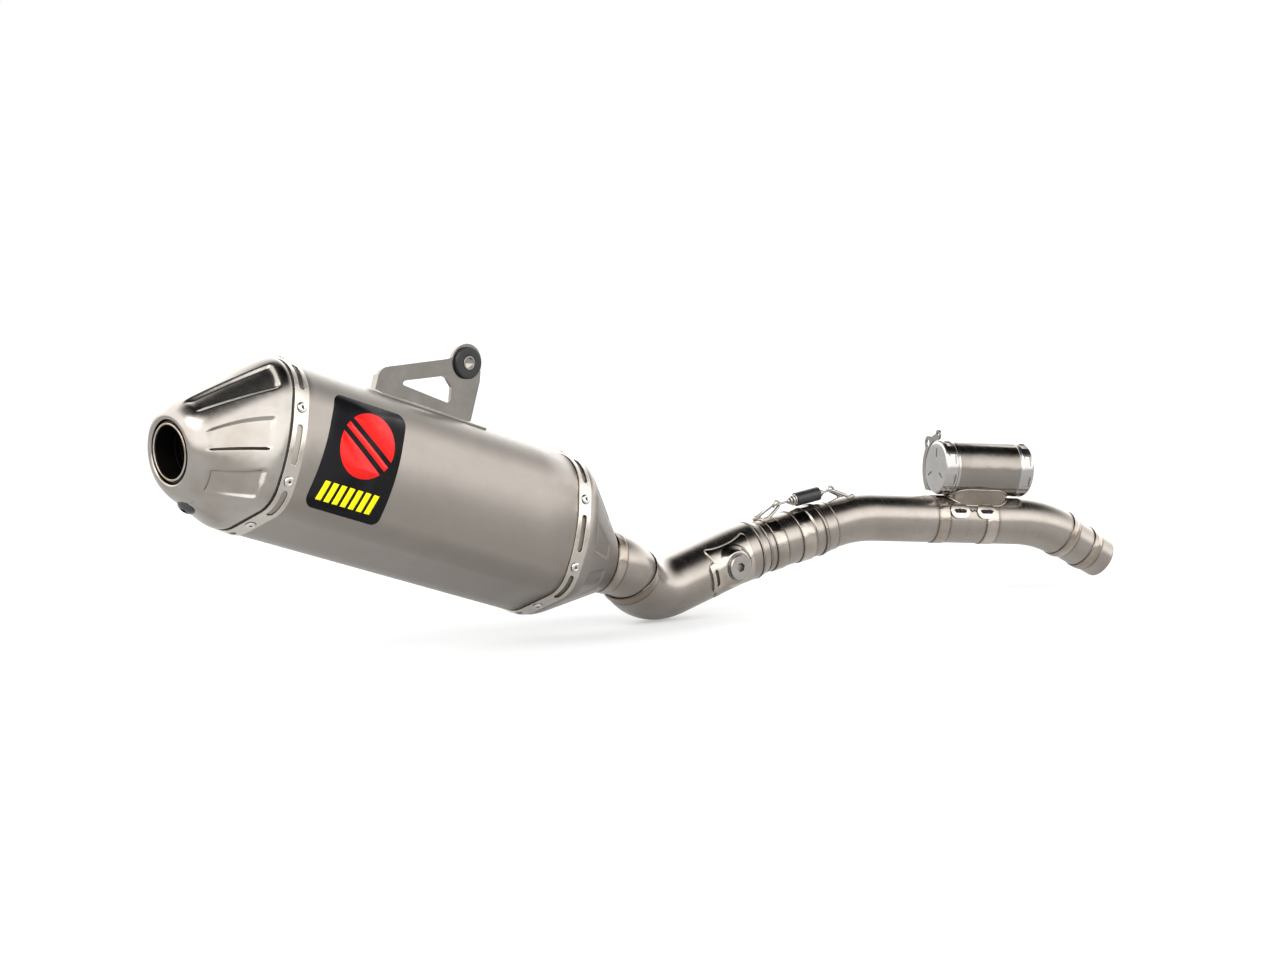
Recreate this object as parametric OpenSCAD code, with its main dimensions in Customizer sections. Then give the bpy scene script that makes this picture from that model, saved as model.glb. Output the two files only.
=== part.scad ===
// Motorcycle slip-on muffler with link pipe, and header with resonance chamber.
// Origin: centre of the hanger bush's bore. +X towards the engine, +Y to the
// bike's left, +Z up. The muffler hangs as on the bike, its outlet end raised.

/* [Muffler] */
// Length of the sleeve between the outer edges of its clamp bands, less one band
body_len = 285; // [250:5:330]
// Slope of the muffler, its engine end low
body_tilt = 17.1; // [14:0.1:20]
// Thickness of the sleeve
sleeve_wall = 1.2; // [1:0.1:1.6]
// Width of each clamp band
band_w = 13; // [11:0.5:15]
// Distance from the rear seam to the outlet's lip
outlet_reach = 62; // [60:0.5:64]
// Downward slope of the outlet's axis, going out
outlet_droop = 3; // [2:0.5:5]

/* [Hanger] */
// Distance of the hanger bore ahead of the rear seam
hanger_ahead = 179; // [175:1:185]
// Height of the hanger bore above the muffler's axis
hanger_rise = 110.5; // [108:0.5:114]
// Distance of the hanger plate to the right of the muffler's axis
hanger_side = 10; // [8:1:12]
// Bore of the steel bush, for an 8 mm bolt
bush_bore_d = 8.2; // [8.1:0.1:8.6]

/* [Pipes] */
// Outer diameter of the link pipe
link_d = 50.7; // [50:0.1:52]
// Outer diameter of the header tube
header_d = 42; // [41:0.5:43]
// Wall of every pipe
pipe_wall = 1.2; // [1:0.1:1.5]
// Outer diameter of the slip joint's sleeve
slip_d = 45.6; // [45.4:0.1:46]
// Radial clearance of the slip joint
slip_gap = 0.05; // [0.03:0.01:0.08]
// Outer diameter of the tube that enters the cylinder head
port_d = 37; // [36:0.5:38]

/* [Resonance chamber] */
// Outer diameter of the chamber
chamber_d = 48; // [46:0.5:49]
// Length of the chamber over its two caps
chamber_len = 87; // [82:1:92]
// Height of the chamber's axis over the header's axis
chamber_rise = 46.5; // [46.5:0.5:49]

/* [Hidden] */
$fn = 64;
CUT = 1;

TITANIUM = [0.62, 0.59, 0.56];
BRIGHT = [0.80, 0.78, 0.74];
STEEL = [0.70, 0.70, 0.70];
RUBBER = [0.08, 0.08, 0.08];

// --- vectors and rigid frames ------------------------------------------------

function unit(v) = v / norm(v);

// Origin p, local X along x, local Z along z
module in_frame(p, x, z) {
    y = cross(z, x);
    multmatrix([[x.x, y.x, z.x, p.x], [x.y, y.y, z.y, p.y], [x.z, y.z, z.z, p.z], [0, 0, 0, 1]])
        children();
}

// --- muffler frame: X ahead along its axis, Z up across it, origin at the rear seam

// Turn of a vector about +Y by angle a
function turn_y(v, a) = [v.x * cos(a) + v.z * sin(a), v.y, v.z * cos(a) - v.x * sin(a)];

rear_seam = -turn_y([hanger_ahead, -hanger_side, hanger_rise], body_tilt);
sleeve_len = body_len + band_w;

module on_body() {
    translate(rear_seam) rotate([0, body_tilt, 0]) children();
}

// Outlet frame: X inwards along the outlet's axis, origin at the rear seam
module on_outlet() {
    translate(rear_seam) rotate([0, -outlet_droop, 0]) children();
}

// --- pipe run: vertices ahead of the front seam, joined by round bends

front_seam = rear_seam + turn_y([body_len, 0, 0], body_tilt);
RUN = [[84, 4, -31], [107, 0.5, -37], [141, 13, -68.5], [243, 6.5, -39], [362, -23.5, -12],
    [530, -97.5, -22.5], [595, -114.5, -58.5]];
// Radius of the bend at each vertex
BEND_R = [0, 38, 54, 146, 116, 111, 0];
BEND_LAP = 0.6;
BEND_SWAGE = 0.06;
pipe_start = front_seam + RUN[0];
link_r = link_d / 2;
header_r = header_d / 2;

function vertex(i) = front_seam + RUN[i];
function leg_run(i) = unit(RUN[i + 1] - RUN[i]);
function leg_length(i) = norm(RUN[i + 1] - RUN[i]);
function turn(i) = acos(leg_run(i - 1) * leg_run(i));
function tangent(i) = BEND_R[i] * tan(turn(i) / 2);

// --- oval section: half outline from top to bottom, as [centre x, y, radius, from, to]

SECTION_ARCS = [
    [0, -134, 200, 90, 86],
    [14, 25.5, 40, 84, 16],
    [-59.5, -8, 120, 17.5, -7],
    [34.5, -26, 24.5, -8, -62],
    [0, -25, 40, -66, -90]];
ARC_STEP = 5;

function arc_points(a, grow) =
    let (n = max(2, round(abs(a[3] - a[4]) * PI / 180 * a[2] / ARC_STEP)))
    [for (i = [0:n]) let (t = a[3] + (a[4] - a[3]) * i / n)
        [a[0] + (a[2] + grow) * cos(t), a[1] + (a[2] + grow) * sin(t)]];

function half_outline(grow) = [for (a = SECTION_ARCS) each arc_points(a, grow)];

// Whole outline, grown outwards by grow
function outline(grow) =
    let (h = half_outline(grow))
    concat(h, [for (i = [len(h) - 2:-1:1]) [-h[i].x, h[i].y]]);

// Solid oval slab between two stations along the axis
module oval(from, to, grow) {
    translate([from, 0, 0]) rotate([90, 0, 90]) linear_extrude(to - from) polygon(outline(grow));
}

module oval_ring(from, to, outer, inner) {
    difference() {
        oval(from, to, outer);
        oval(from - CUT, to + CUT, inner);
    }
}

// Seats round the half section, as [across, up, outward angle, slot length]
RIVET_SEATS = [[13, 65.6, 86], [54.1, 31, 16.3], [59.6, -23.2, -7.3], [27, -56.4, -65]];
SLOT_SEATS = [[41.8, 54.3, 46, 26], [60.3, 4, 5.7, 30], [54, -40.8, -37, 24]];
MIDDLE_SLOTS = [[0, 66, 90, 12], [0, -65, -90, 22]];
SLOT_W = 5;

// Puts a child, its Z outwards, at a seat at station t and at the mirrored seat
module at_seats(t, seats) {
    for (s = seats) for (side = [0, 1]) mirror([0, side, 0])
        translate([t, s[0], s[1]]) rotate([s[2] - 90, 0, 0]) children();
}

rivet_r = 2;
rivet_hole_r = rivet_r + 0.05;
band_t = 1.2;
band_gap = 0.05;
skirt_gap = 0.05;
skirt_t = 1.2;
gasket_t = 1.6;

module rivet_holes(t) {
    at_seats(t, RIVET_SEATS) translate([0, 0, -8]) cylinder(h = 14, r = rivet_hole_r);
}

// --- sleeve, caps, bands ------------------------------------------------------

module outer_sleeve() {
    color(TITANIUM) on_body() difference() {
        oval_ring(0, sleeve_len, 0, -sleeve_wall);
        rivet_holes(band_w / 2);
        rivet_holes(sleeve_len - band_w / 2);
    }
}

module clamp_band(from) {
    difference() {
        oval_ring(from, from + band_w, band_gap + band_t, band_gap);
        rivet_holes(from + band_w / 2);
        translate([from + band_w / 2, 0, 0]) {
            for (s = concat(SLOT_SEATS, MIDDLE_SLOTS)) {
                slot_cut(s, 0);
                if (s[0] > 0) slot_cut(s, 1);
            }
        }
    }
}

module slot_cut(s, side) {
    straight = s[3] - SLOT_W;
    mirror([0, side, 0]) translate([0, s[0], s[1]]) rotate([s[2] - 90, 0, 0])
        translate([0, 0, -6]) linear_extrude(12) {
            square([SLOT_W, straight], center = true);
            for (e = [-1, 1]) translate([0, e * straight / 2]) circle(d = SLOT_W);
        }
}

module rear_clamp_band() {
    color(BRIGHT) on_body() clamp_band(0);
}

module front_clamp_band() {
    color(BRIGHT) on_body() clamp_band(body_len);
}

// Hollow blind rivets, heads on the band
module rivets(t) {
    seat = band_gap + band_t + 0.3;
    grip = seat + sleeve_wall + skirt_gap + skirt_t;
    at_seats(t, RIVET_SEATS) translate([0, 0, seat]) rotate_extrude()
        polygon([[1.1, -grip - 1], [rivet_r, -grip - 1], [rivet_r, 0], [4, 0], [3.9, 0.6],
            [3.1, 1.2], [2, 1.3], [1.5, 1], [1.1, 1]]);
}

module rear_rivets() {
    color(STEEL) on_body() rivets(band_w / 2);
}

module front_rivets() {
    color(STEEL) on_body() rivets(sleeve_len - band_w / 2);
}

module rear_seam_gasket() {
    color(RUBBER) on_body() oval_ring(-gasket_t, 0, 0.6, -sleeve_wall);
}

module front_seam_gasket() {
    color(RUBBER) on_body() oval_ring(sleeve_len, sleeve_len + gasket_t, 0.6, -sleeve_wall);
}

skirt_out = -sleeve_wall - skirt_gap;
skirt_in = skirt_out - skirt_t;
cap_wall = 1.5;
shoulder = 6;
lip_r = 26.7;
lip_in_r = 23.4;
lip_depth = 2.5;
round_r = 32;
round_mid_r = 29.6;
round_len = 5.5;
round_tip = 1.7;

// Cylinder along X from one station to another
module bar_x(from, to, r) {
    translate([from, 0, 0]) rotate([0, 90, 0]) cylinder(h = to - from, r = r);
}

module ring_x(from, to, outer, inner) {
    difference() {
        bar_x(from, to, outer);
        bar_x(from - CUT, to + CUT, inner);
    }
}

// Turned ring about X; the profile is a list of [station, radius]
module turned_x(profile) {
    rotate([0, 90, 0]) rotate_extrude() polygon([for (p = profile) [p[1], p[0]]]);
}

// Solid drawn from the rear shoulder over a round to the outlet's lip
module rear_cone(grow, open) {
    hull() {
        on_body() oval(-gasket_t - shoulder, -gasket_t + open, grow);
        on_outlet() {
            bar_x(-outlet_reach + round_len, -outlet_reach + round_len + 1, round_r + grow);
            bar_x(-outlet_reach + round_tip - grow / 3, -outlet_reach + lip_depth, round_mid_r + grow);
            bar_x(-outlet_reach - grow, -outlet_reach - grow + 0.1, lip_r + grow);
        }
    }
}

// Screw seat on the lowest line of the rear cone: a point and its outward normal
cone_low = turn_y([-gasket_t - shoulder, 0, -65], body_tilt);
lip_low = turn_y([-outlet_reach + round_tip, 0, -round_mid_r], -outlet_droop);
cone_run = unit(lip_low - cone_low);
screw_share = 0.63;
screw_at = rear_seam + cone_low + (lip_low - cone_low) * screw_share;
screw_tilt = 180 + atan2(cone_run.z, -cone_run.x);

// Insert screw frame: Z outwards along the screw
module on_screw() {
    translate(screw_at) rotate([0, screw_tilt, 0]) children();
}

outlet_in_r = 21.3;
outlet_out_r = 22.5;
screw_r = 3;
screw_boss_r = 6.5;
collar_t = 2;
collar_from = lip_depth - outlet_reach - 0.1;

module rear_cap() {
    color(BRIGHT) difference() {
        union() {
            difference() {
                rear_cone(0, 0);
                rear_cone(-cap_wall, CUT);
            }
            on_outlet()
                ring_x(collar_from, collar_from + collar_t, round_mid_r - 0.3, outlet_out_r + 0.05);
            on_body() oval_ring(-gasket_t - 4, band_w - 1, skirt_out, skirt_in);
        }
        on_outlet() bar_x(-outlet_reach - CUT, -outlet_reach + lip_depth, lip_in_r);
        on_body() rivet_holes(band_w / 2);
        on_screw() translate([0, 0, -8]) cylinder(h = 14, r = screw_r + 0.4);
    }
}

module front_cap() {
    front = sleeve_len + gasket_t;
    color(TITANIUM) difference() {
        union() {
            difference() {
                hull() {
                    on_body() oval(front, front + shoulder, 0);
                    on_leg(0) bar_x(-CUT, 0, link_r + 1);
                }
                hull() {
                    on_body() oval(front - CUT, front + shoulder, -cap_wall);
                    on_leg(0) bar_x(-CUT, CUT, link_r - pipe_wall);
                }
            }
            on_body() oval_ring(body_len + 1, front + 4, skirt_out, skirt_in);
        }
        on_body() rivet_holes(sleeve_len - band_w / 2);
    }
}

// --- tubes inside the muffler ---------------------------------------------------

core_bend_r = 100;
core_bend = body_tilt + outlet_droop;
core_lap = BEND_LAP / core_bend_r * 180 / PI;
core_tangent = core_bend_r * tan(core_bend / 2);

// Straight seat for the insert, bent at the rear seam to run along the muffler
module outlet_tube() {
    color(STEEL) difference() {
        union() {
            on_outlet() ring_x(collar_from, -core_tangent, outlet_out_r, outlet_in_r);
            on_outlet() translate([-core_tangent, 0, -core_bend_r]) rotate([90, 0, 0])
                rotate([0, 0, 90 - core_bend]) rotate_extrude(angle = core_bend + core_lap)
                    translate([core_bend_r, 0])
                        pipe_face(outlet_out_r + BEND_SWAGE, outlet_in_r - BEND_SWAGE);
        }
        on_screw() translate([0, 0, -30]) cylinder(h = 40, r = screw_r + 0.2);
    }
}

module pipe_face(outer, inner) {
    difference() {
        circle(r = outer);
        circle(r = inner);
    }
}

core_start = rear_seam + turn_y([core_tangent, 0, 0], body_tilt);
core_end = pipe_start - unit(pipe_start - core_start) * 26;

core_rows = 8;
core_holes = 6;
core_hole_r = 4;

module perforated_core() {
    run = unit(core_end - core_start);
    length = norm(core_end - core_start);
    margin = 12;
    pitch = (length - 2 * margin) / (core_rows - 1);
    through = 2 * (outlet_out_r + CUT);
    color(STEEL) in_frame(core_start, run, unit(cross(run, [0, 1, 0]))) difference() {
        ring_x(BEND_LAP + 0.2, length, outlet_out_r, outlet_in_r);
        for (row = [0:core_rows - 1]) for (k = [0:core_holes / 2 - 1])
            translate([margin + row * pitch, 0, 0])
                rotate([(k + row % 2 / 2) * 360 / core_holes, 0, 0])
                    cylinder(h = through, r = core_hole_r, center = true);
    }
}

module inlet_tube() {
    color(STEEL) on_leg(0) ring_x(-22, -2, link_r - pipe_wall - 0.1, link_r - 2 * pipe_wall - 0.1);
}

wool_from = core_tangent + 6;
wool_to = sleeve_len - 14;

module glass_wool() {
    color([0.85, 0.82, 0.70]) difference() {
        on_body() oval(wool_from, wool_to, -sleeve_wall - 0.3);
        in_frame(core_start, unit(core_end - core_start), unit(cross(core_end - core_start, [0, 1, 0])))
            bar_x(-30, 400, outlet_out_r + 0.3);
    }
}

// --- hanger -----------------------------------------------------------------------

plate_t = 3;
plate_from = 99;
eye_r = 15;
grommet_r = 12.6;
groove_r = 9.8;
grommet_half = 5;
bush_r = 5.5;
bush_half = 5.2;
foot_t = 1.6;
plate_foot = 67.5;

// Plate outline in the muffler frame, as [ahead, up]
PLATE = [[plate_from, plate_foot], [plate_from, 79], [plate_from + 0.8, 82], [plate_from + 2.6, 84.8],
    [plate_from + 5.2, 86.9], [plate_from + 9.5, 88.6], [158, 107.8], [164, 110.8], [167.5, 115],
    [170, 122.5], [194.4, 108], [196, 100], [196, plate_foot]];
WINDOW = [[124, 78], [123.2, 79.6], [124.6, 81.6], [159, 94.5], [163, 94], [170, 88.5], [172, 78],
    [169, 76]];

// Plate frame: X ahead, Y up, Z to the right, at the plate's middle plane
module on_plate() {
    on_body() translate([0, -hanger_side, 0]) rotate([90, 0, 0]) children();
}

module hanger_bracket() {
    color(STEEL) on_plate() difference() {
        union() {
            translate([0, 0, -plate_t / 2]) linear_extrude(plate_t) polygon(PLATE);
            translate([hanger_ahead, hanger_rise, -plate_t / 2]) cylinder(h = plate_t, r = eye_r);
            translate([plate_from, plate_foot, -5]) cube([2.5, 12, 5]);
        }
        translate([0, 0, -plate_t]) linear_extrude(2 * plate_t) polygon(WINDOW);
        translate([hanger_ahead, hanger_rise, -plate_t]) cylinder(h = 2 * plate_t, r = groove_r + 0.02);
    }
}

module hanger_foot() {
    color(STEEL) on_body() intersection() {
        oval_ring(plate_from - 6, 202, band_gap + foot_t, band_gap);
        translate([plate_from - 10, -29, 40]) cube([110, 27, 40]);
    }
}

module hanger_grommet() {
    half = plate_t / 2 + 0.02;
    color(RUBBER) rotate([90, 0, 0]) rotate_extrude() polygon([[bush_r, -grommet_half],
        [grommet_r - 1, -grommet_half], [grommet_r, 1 - grommet_half], [grommet_r, -half],
        [groove_r, -half], [groove_r, half], [grommet_r, half], [grommet_r, grommet_half - 1],
        [grommet_r - 1, grommet_half], [bush_r, grommet_half]]);
}

module hanger_bush() {
    color(STEEL) rotate([90, 0, 0]) difference() {
        cylinder(h = 2 * bush_half, r = bush_r, center = true);
        cylinder(h = 2 * bush_half + CUT, d = bush_bore_d, center = true);
    }
}

// --- badge and removable insert -----------------------------------------------------

badge_t = 0.3;
badge_corner = 7;
// Centres of the badge's corner rounds in the muffler frame, as [ahead, up], anticlockwise
BADGE = [[33, -29], [86, -29], [97, 43], [46.5, 43]];

// Convex outline round circles of radius r at the given centres
function rounded(c, r) =
    let (n = len(c))
    [for (i = [0:n - 1]) let (
        a = c[i] - c[(i + n - 1) % n],
        b = c[(i + 1) % n] - c[i],
        from = atan2(a.y, a.x) - 90,
        sweep = (atan2(b.y, b.x) - 90 - from + 720) % 360)
        for (k = [0:6]) c[i] + r * [cos(from + sweep * k / 6), sin(from + sweep * k / 6)]];

module side_badge() {
    color(RUBBER) on_body() intersection() {
        oval_ring(20, 110, band_gap + badge_t, band_gap);
        translate([0, -30, 0]) rotate([90, 0, 0]) linear_extrude(40) polygon(rounded(BADGE, badge_corner));
    }
}

insert_r = outlet_in_r - 0.06;
insert_wall = 1.6;
insert_from = 0.5 - outlet_reach;
insert_to = -20;
insert_bore_to = -44.5;
cone_seat_r = insert_r - insert_wall + 0.56;

// Gauged bore at the mouth, opened up where the cone is welded in
module insert_tube() {
    color(BRIGHT) on_outlet() difference() {
        ring_x(insert_from, insert_to, insert_r, insert_r - insert_wall);
        bar_x(insert_bore_to, 0, cone_seat_r);
    }
}

// Cone that narrows the outlet, welded inside the insert
module insert_cone() {
    big = cone_seat_r - 0.02;
    small = 13;
    color(STEEL) on_outlet() turned_x([[-44, big], [-40, big], [-24, small], [-14, small],
        [-14, small - 1.2], [-24.4, small - 1.2], [-40.4, big - 1.2], [-44, big - 1.2]]);
}

module insert_screw_boss() {
    color(STEEL) difference() {
        on_screw() translate([0, 0, -40]) cylinder(h = 40 - cap_wall - 0.4, r = screw_boss_r);
        on_screw() translate([0, 0, -41]) cylinder(h = 42, r = screw_r + 0.06);
        on_outlet() bar_x(-80, 10, outlet_out_r + 0.05);
        on_outlet() translate([-80, -30, -2]) cube([90, 60, 60]);
    }
}

head_r = 7.2;
head_h = 4;
head_seat = 0.5;
tip_from = -18.5;
tip_to = -21.5;
hex_r = 2.9;

// Button-head screw with a hexagon socket and a cone point
module insert_screw() {
    color(RUBBER) on_screw() difference() {
        rotate_extrude() polygon([[0, tip_to], [1, tip_to], [screw_r, tip_from], [screw_r, head_seat],
            [head_r, head_seat], [head_r, head_seat + 1.2], [head_r - 1, head_seat + 2.6],
            [head_r - 3, head_seat + head_h - 0.3], [head_r - 4, head_seat + head_h],
            [0, head_seat + head_h]]);
        translate([0, 0, head_seat + head_h - 2.4]) cylinder(h = 3, r = hex_r, $fn = 6);
    }
}

// --- legs, bends and bands ---------------------------------------------------------

// Leg frame: X along the leg from its first vertex, Z as near upright as it goes
module on_leg(i) {
    run = leg_run(i);
    in_frame(vertex(i), run, unit([0, 0, 1] - run * run.z)) children();
}

// Round bend at a vertex, swaged a hair to lap the straight tubes at both its ends
module bend(i, outer, inner) {
    before = leg_run(i - 1);
    after = leg_run(i);
    normal = unit(cross(before, after));
    inward = cross(normal, before);
    lap = BEND_LAP / BEND_R[i] * 180 / PI;
    in_frame(vertex(i) - before * tangent(i) + inward * BEND_R[i], -inward, normal)
        rotate([0, 0, -lap]) rotate_extrude(angle = turn(i) + 2 * lap)
            translate([BEND_R[i], 0]) pipe_face(outer + BEND_SWAGE, inner - BEND_SWAGE);
}

link_in_r = link_r - pipe_wall;
header_in_r = header_r - pipe_wall;
band_clear = 0.15;

// Weld band round a tube
module weld_band(from, to, r, proud) {
    ring_x(from, to, r + band_clear + proud, r + band_clear);
}

module inlet_collar() {
    color(BRIGHT) on_leg(0) weld_band(0.3, 10, link_r, 1.1);
}

elbow_end = tangent(1) + 1.6;

module elbow_tube() {
    color(TITANIUM) {
        on_leg(0) ring_x(0.1, leg_length(0) - tangent(1), link_r, link_in_r);
        bend(1, link_r, link_in_r);
        on_leg(1) ring_x(tangent(1), elbow_end, link_r, link_in_r);
    }
}

module elbow_collar() {
    color(BRIGHT) on_leg(1) weld_band(elbow_end - 4, elbow_end + 4, link_r, 1);
}

reducer_from = tangent(3) + BEND_LAP + 0.2;
reducer_to = 24;

module link_pipe() {
    color(TITANIUM) difference() {
        union() {
            on_leg(1) ring_x(elbow_end, leg_length(1) - tangent(2), link_r, link_in_r);
            bend(2, link_r, link_in_r);
            on_leg(2) ring_x(tangent(2), leg_length(2) - tangent(3), link_r, link_in_r);
            bend(3, link_r, link_in_r);
        }
        on_boss() cylinder(h = 60, r = sensor_bore_r);
    }
}

slip_out_r = slip_d / 2;
slip_in_r = slip_out_r - pipe_wall;

module link_reducer() {
    color(TITANIUM) on_leg(3) turned_x([[reducer_from, link_in_r], [reducer_from, link_r],
        [reducer_to, slip_out_r], [reducer_to, slip_in_r]]);
}

mouth_at = 71;
spigot_from = 38;

module slip_sleeve() {
    color(TITANIUM) on_leg(3) ring_x(reducer_to, mouth_at, slip_out_r, slip_in_r);
}

hook_band_proud = 0.8;

module hook_band() {
    color(BRIGHT) on_leg(3) weld_band(30, 42, slip_out_r, hook_band_proud);
}

module mouth_band() {
    color(BRIGHT) on_leg(3) weld_band(57, mouth_at, slip_out_r, hook_band_proud);
}

// --- sensor boss on the link pipe ---------------------------------------------------------

boss_at = 85;
boss_r = 12.5;
boss_base = 20;
boss_top = 28.5;
boss_foot_r = 19;
sensor_bore_r = 9.1;
plug_r = 9.05;
socket_r = 4.2;

// Boss frame: Z out of the pipe, to the right of the bike, at the boss's station
module on_boss() {
    run = leg_run(2);
    out = unit([0, -1, 0] + run * run.y);
    in_frame(vertex(2) + run * boss_at, run, out) children();
}

module sensor_boss() {
    color(TITANIUM) difference() {
        on_boss() rotate_extrude() polygon([[sensor_bore_r, boss_base], [boss_foot_r, boss_base],
            [boss_foot_r - 0.5, 25.4], [15, 26.8], [boss_r + 0.5, boss_top - 0.5], [boss_r, boss_top],
            [sensor_bore_r, boss_top]]);
        on_leg(2) bar_x(40, 130, link_r + 0.05);
        bend(3, link_r + 0.1, 1);
    }
}

washer_t = 1;

module plug_washer() {
    color(STEEL) on_boss() translate([0, 0, boss_top]) linear_extrude(washer_t) pipe_face(12, plug_r + 0.3);
}

plug_seat = boss_top + washer_t + 0.1;
plug_head_r = 11;
plug_head_h = 2.2;

module sensor_plug() {
    color(STEEL) on_boss() difference() {
        rotate_extrude() polygon([[0, 21], [8.2, 21], [plug_r - 0.05, 22], [plug_r - 0.05, plug_seat],
            [plug_head_r, plug_seat], [plug_head_r, plug_seat + plug_head_h - 0.7],
            [plug_head_r - 0.7, plug_seat + plug_head_h], [0, plug_seat + plug_head_h]]);
        translate([0, 0, plug_seat - 4]) cylinder(h = 9, r = socket_r, $fn = 6);
    }
}

saddle_half = 24;
saddle_side = 22.5;
hollow_r = 70;
hollow = 2.5;
saddle_to = leg_length(2) - tangent(3);

// Formed patch round the boss
module boss_saddle() {
    color(BRIGHT) difference() {
        intersection() {
            on_leg(2) ring_x(boss_at - saddle_half - 5, saddle_to, link_r + 1.2, link_r + 0.1);
            on_boss() translate([0, 0, 10]) linear_extrude(30) saddle_face();
        }
        on_boss() cylinder(h = 60, r = boss_foot_r + 0.3);
    }
}

// Square with hollowed sides, and a slotted tab at its rear
module saddle_face() {
    difference() {
        union() {
            difference() {
                square([2 * saddle_half, 2 * saddle_side], center = true);
                for (e = [-1, 1]) {
                    translate([0, e * (saddle_side + hollow_r - hollow)]) circle(r = hollow_r);
                    translate([e * (saddle_half + hollow_r - hollow), 0]) circle(r = hollow_r);
                }
            }
            translate([1 - saddle_half, -2]) rotate(90) stadium(26, 9);
        }
        translate([0.5 - saddle_half, 0]) rotate(90) stadium(15, 3);
    }
}

// --- spring and its loops, on the slip joint's leg ---------------------------------------------

wire_r = 1.6;
spring_wire_r = 1.1;
loop_half = 8;
rear_bar = [50, 31.6];
front_bar = [106.5, 29.6];
rear_foot = [34, leg_height(slip_out_r + band_clear + hook_band_proud)];
front_foot = [119, leg_height(header_r)];

// Round wire between two points of the leg frame, with a ball at each end
module wire(a, b, r) {
    run = unit(b - a);
    side = abs(run.y) > 0.9 ? [1, 0, 0] : [0, 1, 0];
    in_frame(a, unit(cross(side, run)), run) cylinder(h = norm(b - a), r = r);
    translate(a) sphere(r = r + 0.03);
    translate(b) sphere(r = r + 0.03);
}

// Height at which a loop's leg, set off to the side, just touches a tube of radius r
function leg_height(r) = sqrt(pow(r + wire_r + 0.05, 2) - pow(loop_half, 2));

// Bail: two legs rising from welded feet to a cross bar
module spring_loop(foot, top, back) {
    for (side = [-1, 1]) {
        wire([foot[0], side * loop_half, foot[1]], [top[0], side * loop_half, top[1]], wire_r);
        wire([foot[0] + back, side * loop_half, foot[1]], [foot[0], side * loop_half, foot[1]], wire_r);
    }
    wire([top[0], -loop_half, top[1]], [top[0], loop_half, top[1]], wire_r);
}

module rear_spring_loop() {
    color(STEEL) on_leg(3) spring_loop(rear_foot, rear_bar, -3);
}

module front_spring_loop() {
    color(STEEL) on_leg(3) spring_loop(front_foot, front_bar, 4);
}

coil_r = 3.9;
coil_pitch = 2.2;
hook_r = wire_r + 0.7 + spring_wire_r;

// Spring frame: the leg frame turned so X runs from the rear bar to the front bar
spring_slope = atan2(front_bar[1] - rear_bar[1], front_bar[0] - rear_bar[0]);
spring_span = norm(front_bar - rear_bar);

module on_spring() {
    on_leg(3) translate([rear_bar[0], 0, rear_bar[1]]) rotate([0, -spring_slope, 0]) children();
}

coil_start = 10.5;
coil_end = spring_span - 7;
coil_turns = floor((coil_end - coil_start) / coil_pitch);

// Open hook over a bar at the origin: a half turn that ends beside the bar
module bar_hook(reach) {
    rotate([90, 0, 0]) rotate_extrude(angle = 180) translate([hook_r, 0]) circle(r = spring_wire_r);
    wire([-hook_r, 0, 0], [-hook_r, 0, -1], spring_wire_r);
    wire([hook_r, 0, 0], [reach, 0, 0], spring_wire_r);
}

module joint_spring() {
    color(STEEL) on_spring() {
        bar_hook(coil_start + 1);
        translate([spring_span, 0, 0]) mirror([1, 0, 0]) bar_hook(spring_span - coil_end + 2.5);
        turned_x(concat([[coil_start, 0]], [for (i = [0:coil_turns - 1]) each coil_crest(i)],
            [[coil_start + coil_turns * coil_pitch, 0]]));
    }
}

// One turn's profile: a crest between two grooves, smaller towards both ends
function coil_crest(i) =
    let (r = min(coil_r, 1.6 + 0.8 * min(i, coil_turns - 1 - i)))
    [[coil_start + i * coil_pitch + 0.1, r], [coil_start + (i + 0.3) * coil_pitch, r + spring_wire_r],
        [coil_start + (i + 0.7) * coil_pitch, r + spring_wire_r],
        [coil_start + (i + 1) * coil_pitch - 0.1, r]];

sleeve_r = 6;
sleeve_from = 19.5;
sleeve_to = 43.5;

module spring_sleeve() {
    color(RUBBER) on_spring()
        ring_x(sleeve_from, sleeve_to, sleeve_r, coil_r + spring_wire_r + 0.05);
}

// --- header ----------------------------------------------------------------------------------------

spigot_r = slip_in_r - slip_gap;
spigot_wall = 1.4;
spigot_end = 84;

// Sized end that enters the sleeve, drawn down to the header's diameter
module header_spigot() {
    color(BRIGHT) on_leg(3) turned_x([[spigot_from, spigot_r - spigot_wall], [spigot_from, spigot_r],
        [mouth_at + 1, spigot_r], [mouth_at + 2, slip_out_r], [spigot_end, slip_out_r],
        [96, header_r + 0.6], [96, header_in_r], [spigot_end, spigot_r - spigot_wall]]);
}

module spigot_collar() {
    color(BRIGHT) on_leg(3) weld_band(81, 84, slip_out_r, 0.8);
}

port_joint = 28;

module header_tube() {
    color(TITANIUM) difference() {
        union() {
            on_leg(3) ring_x(96, leg_length(3) - tangent(4), header_r, header_in_r);
            bend(4, header_r, header_in_r);
            on_leg(4) ring_x(tangent(4), leg_length(4) - tangent(5), header_r, header_in_r);
            bend(5, header_r, header_in_r);
            on_leg(5) ring_x(tangent(5), port_joint, header_r, header_in_r);
        }
        on_leg(4) translate([neck_at, 0, 0]) cylinder(h = 40, r = neck_hole_r);
    }
}

header_band_proud = 0.5;
REAR_BAND = [73.5, 85];
FRONT_BAND = [120.5, 133];

module header_rear_band() {
    color(BRIGHT) on_leg(4) weld_band(REAR_BAND[0], REAR_BAND[1], header_r, header_band_proud);
}

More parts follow.
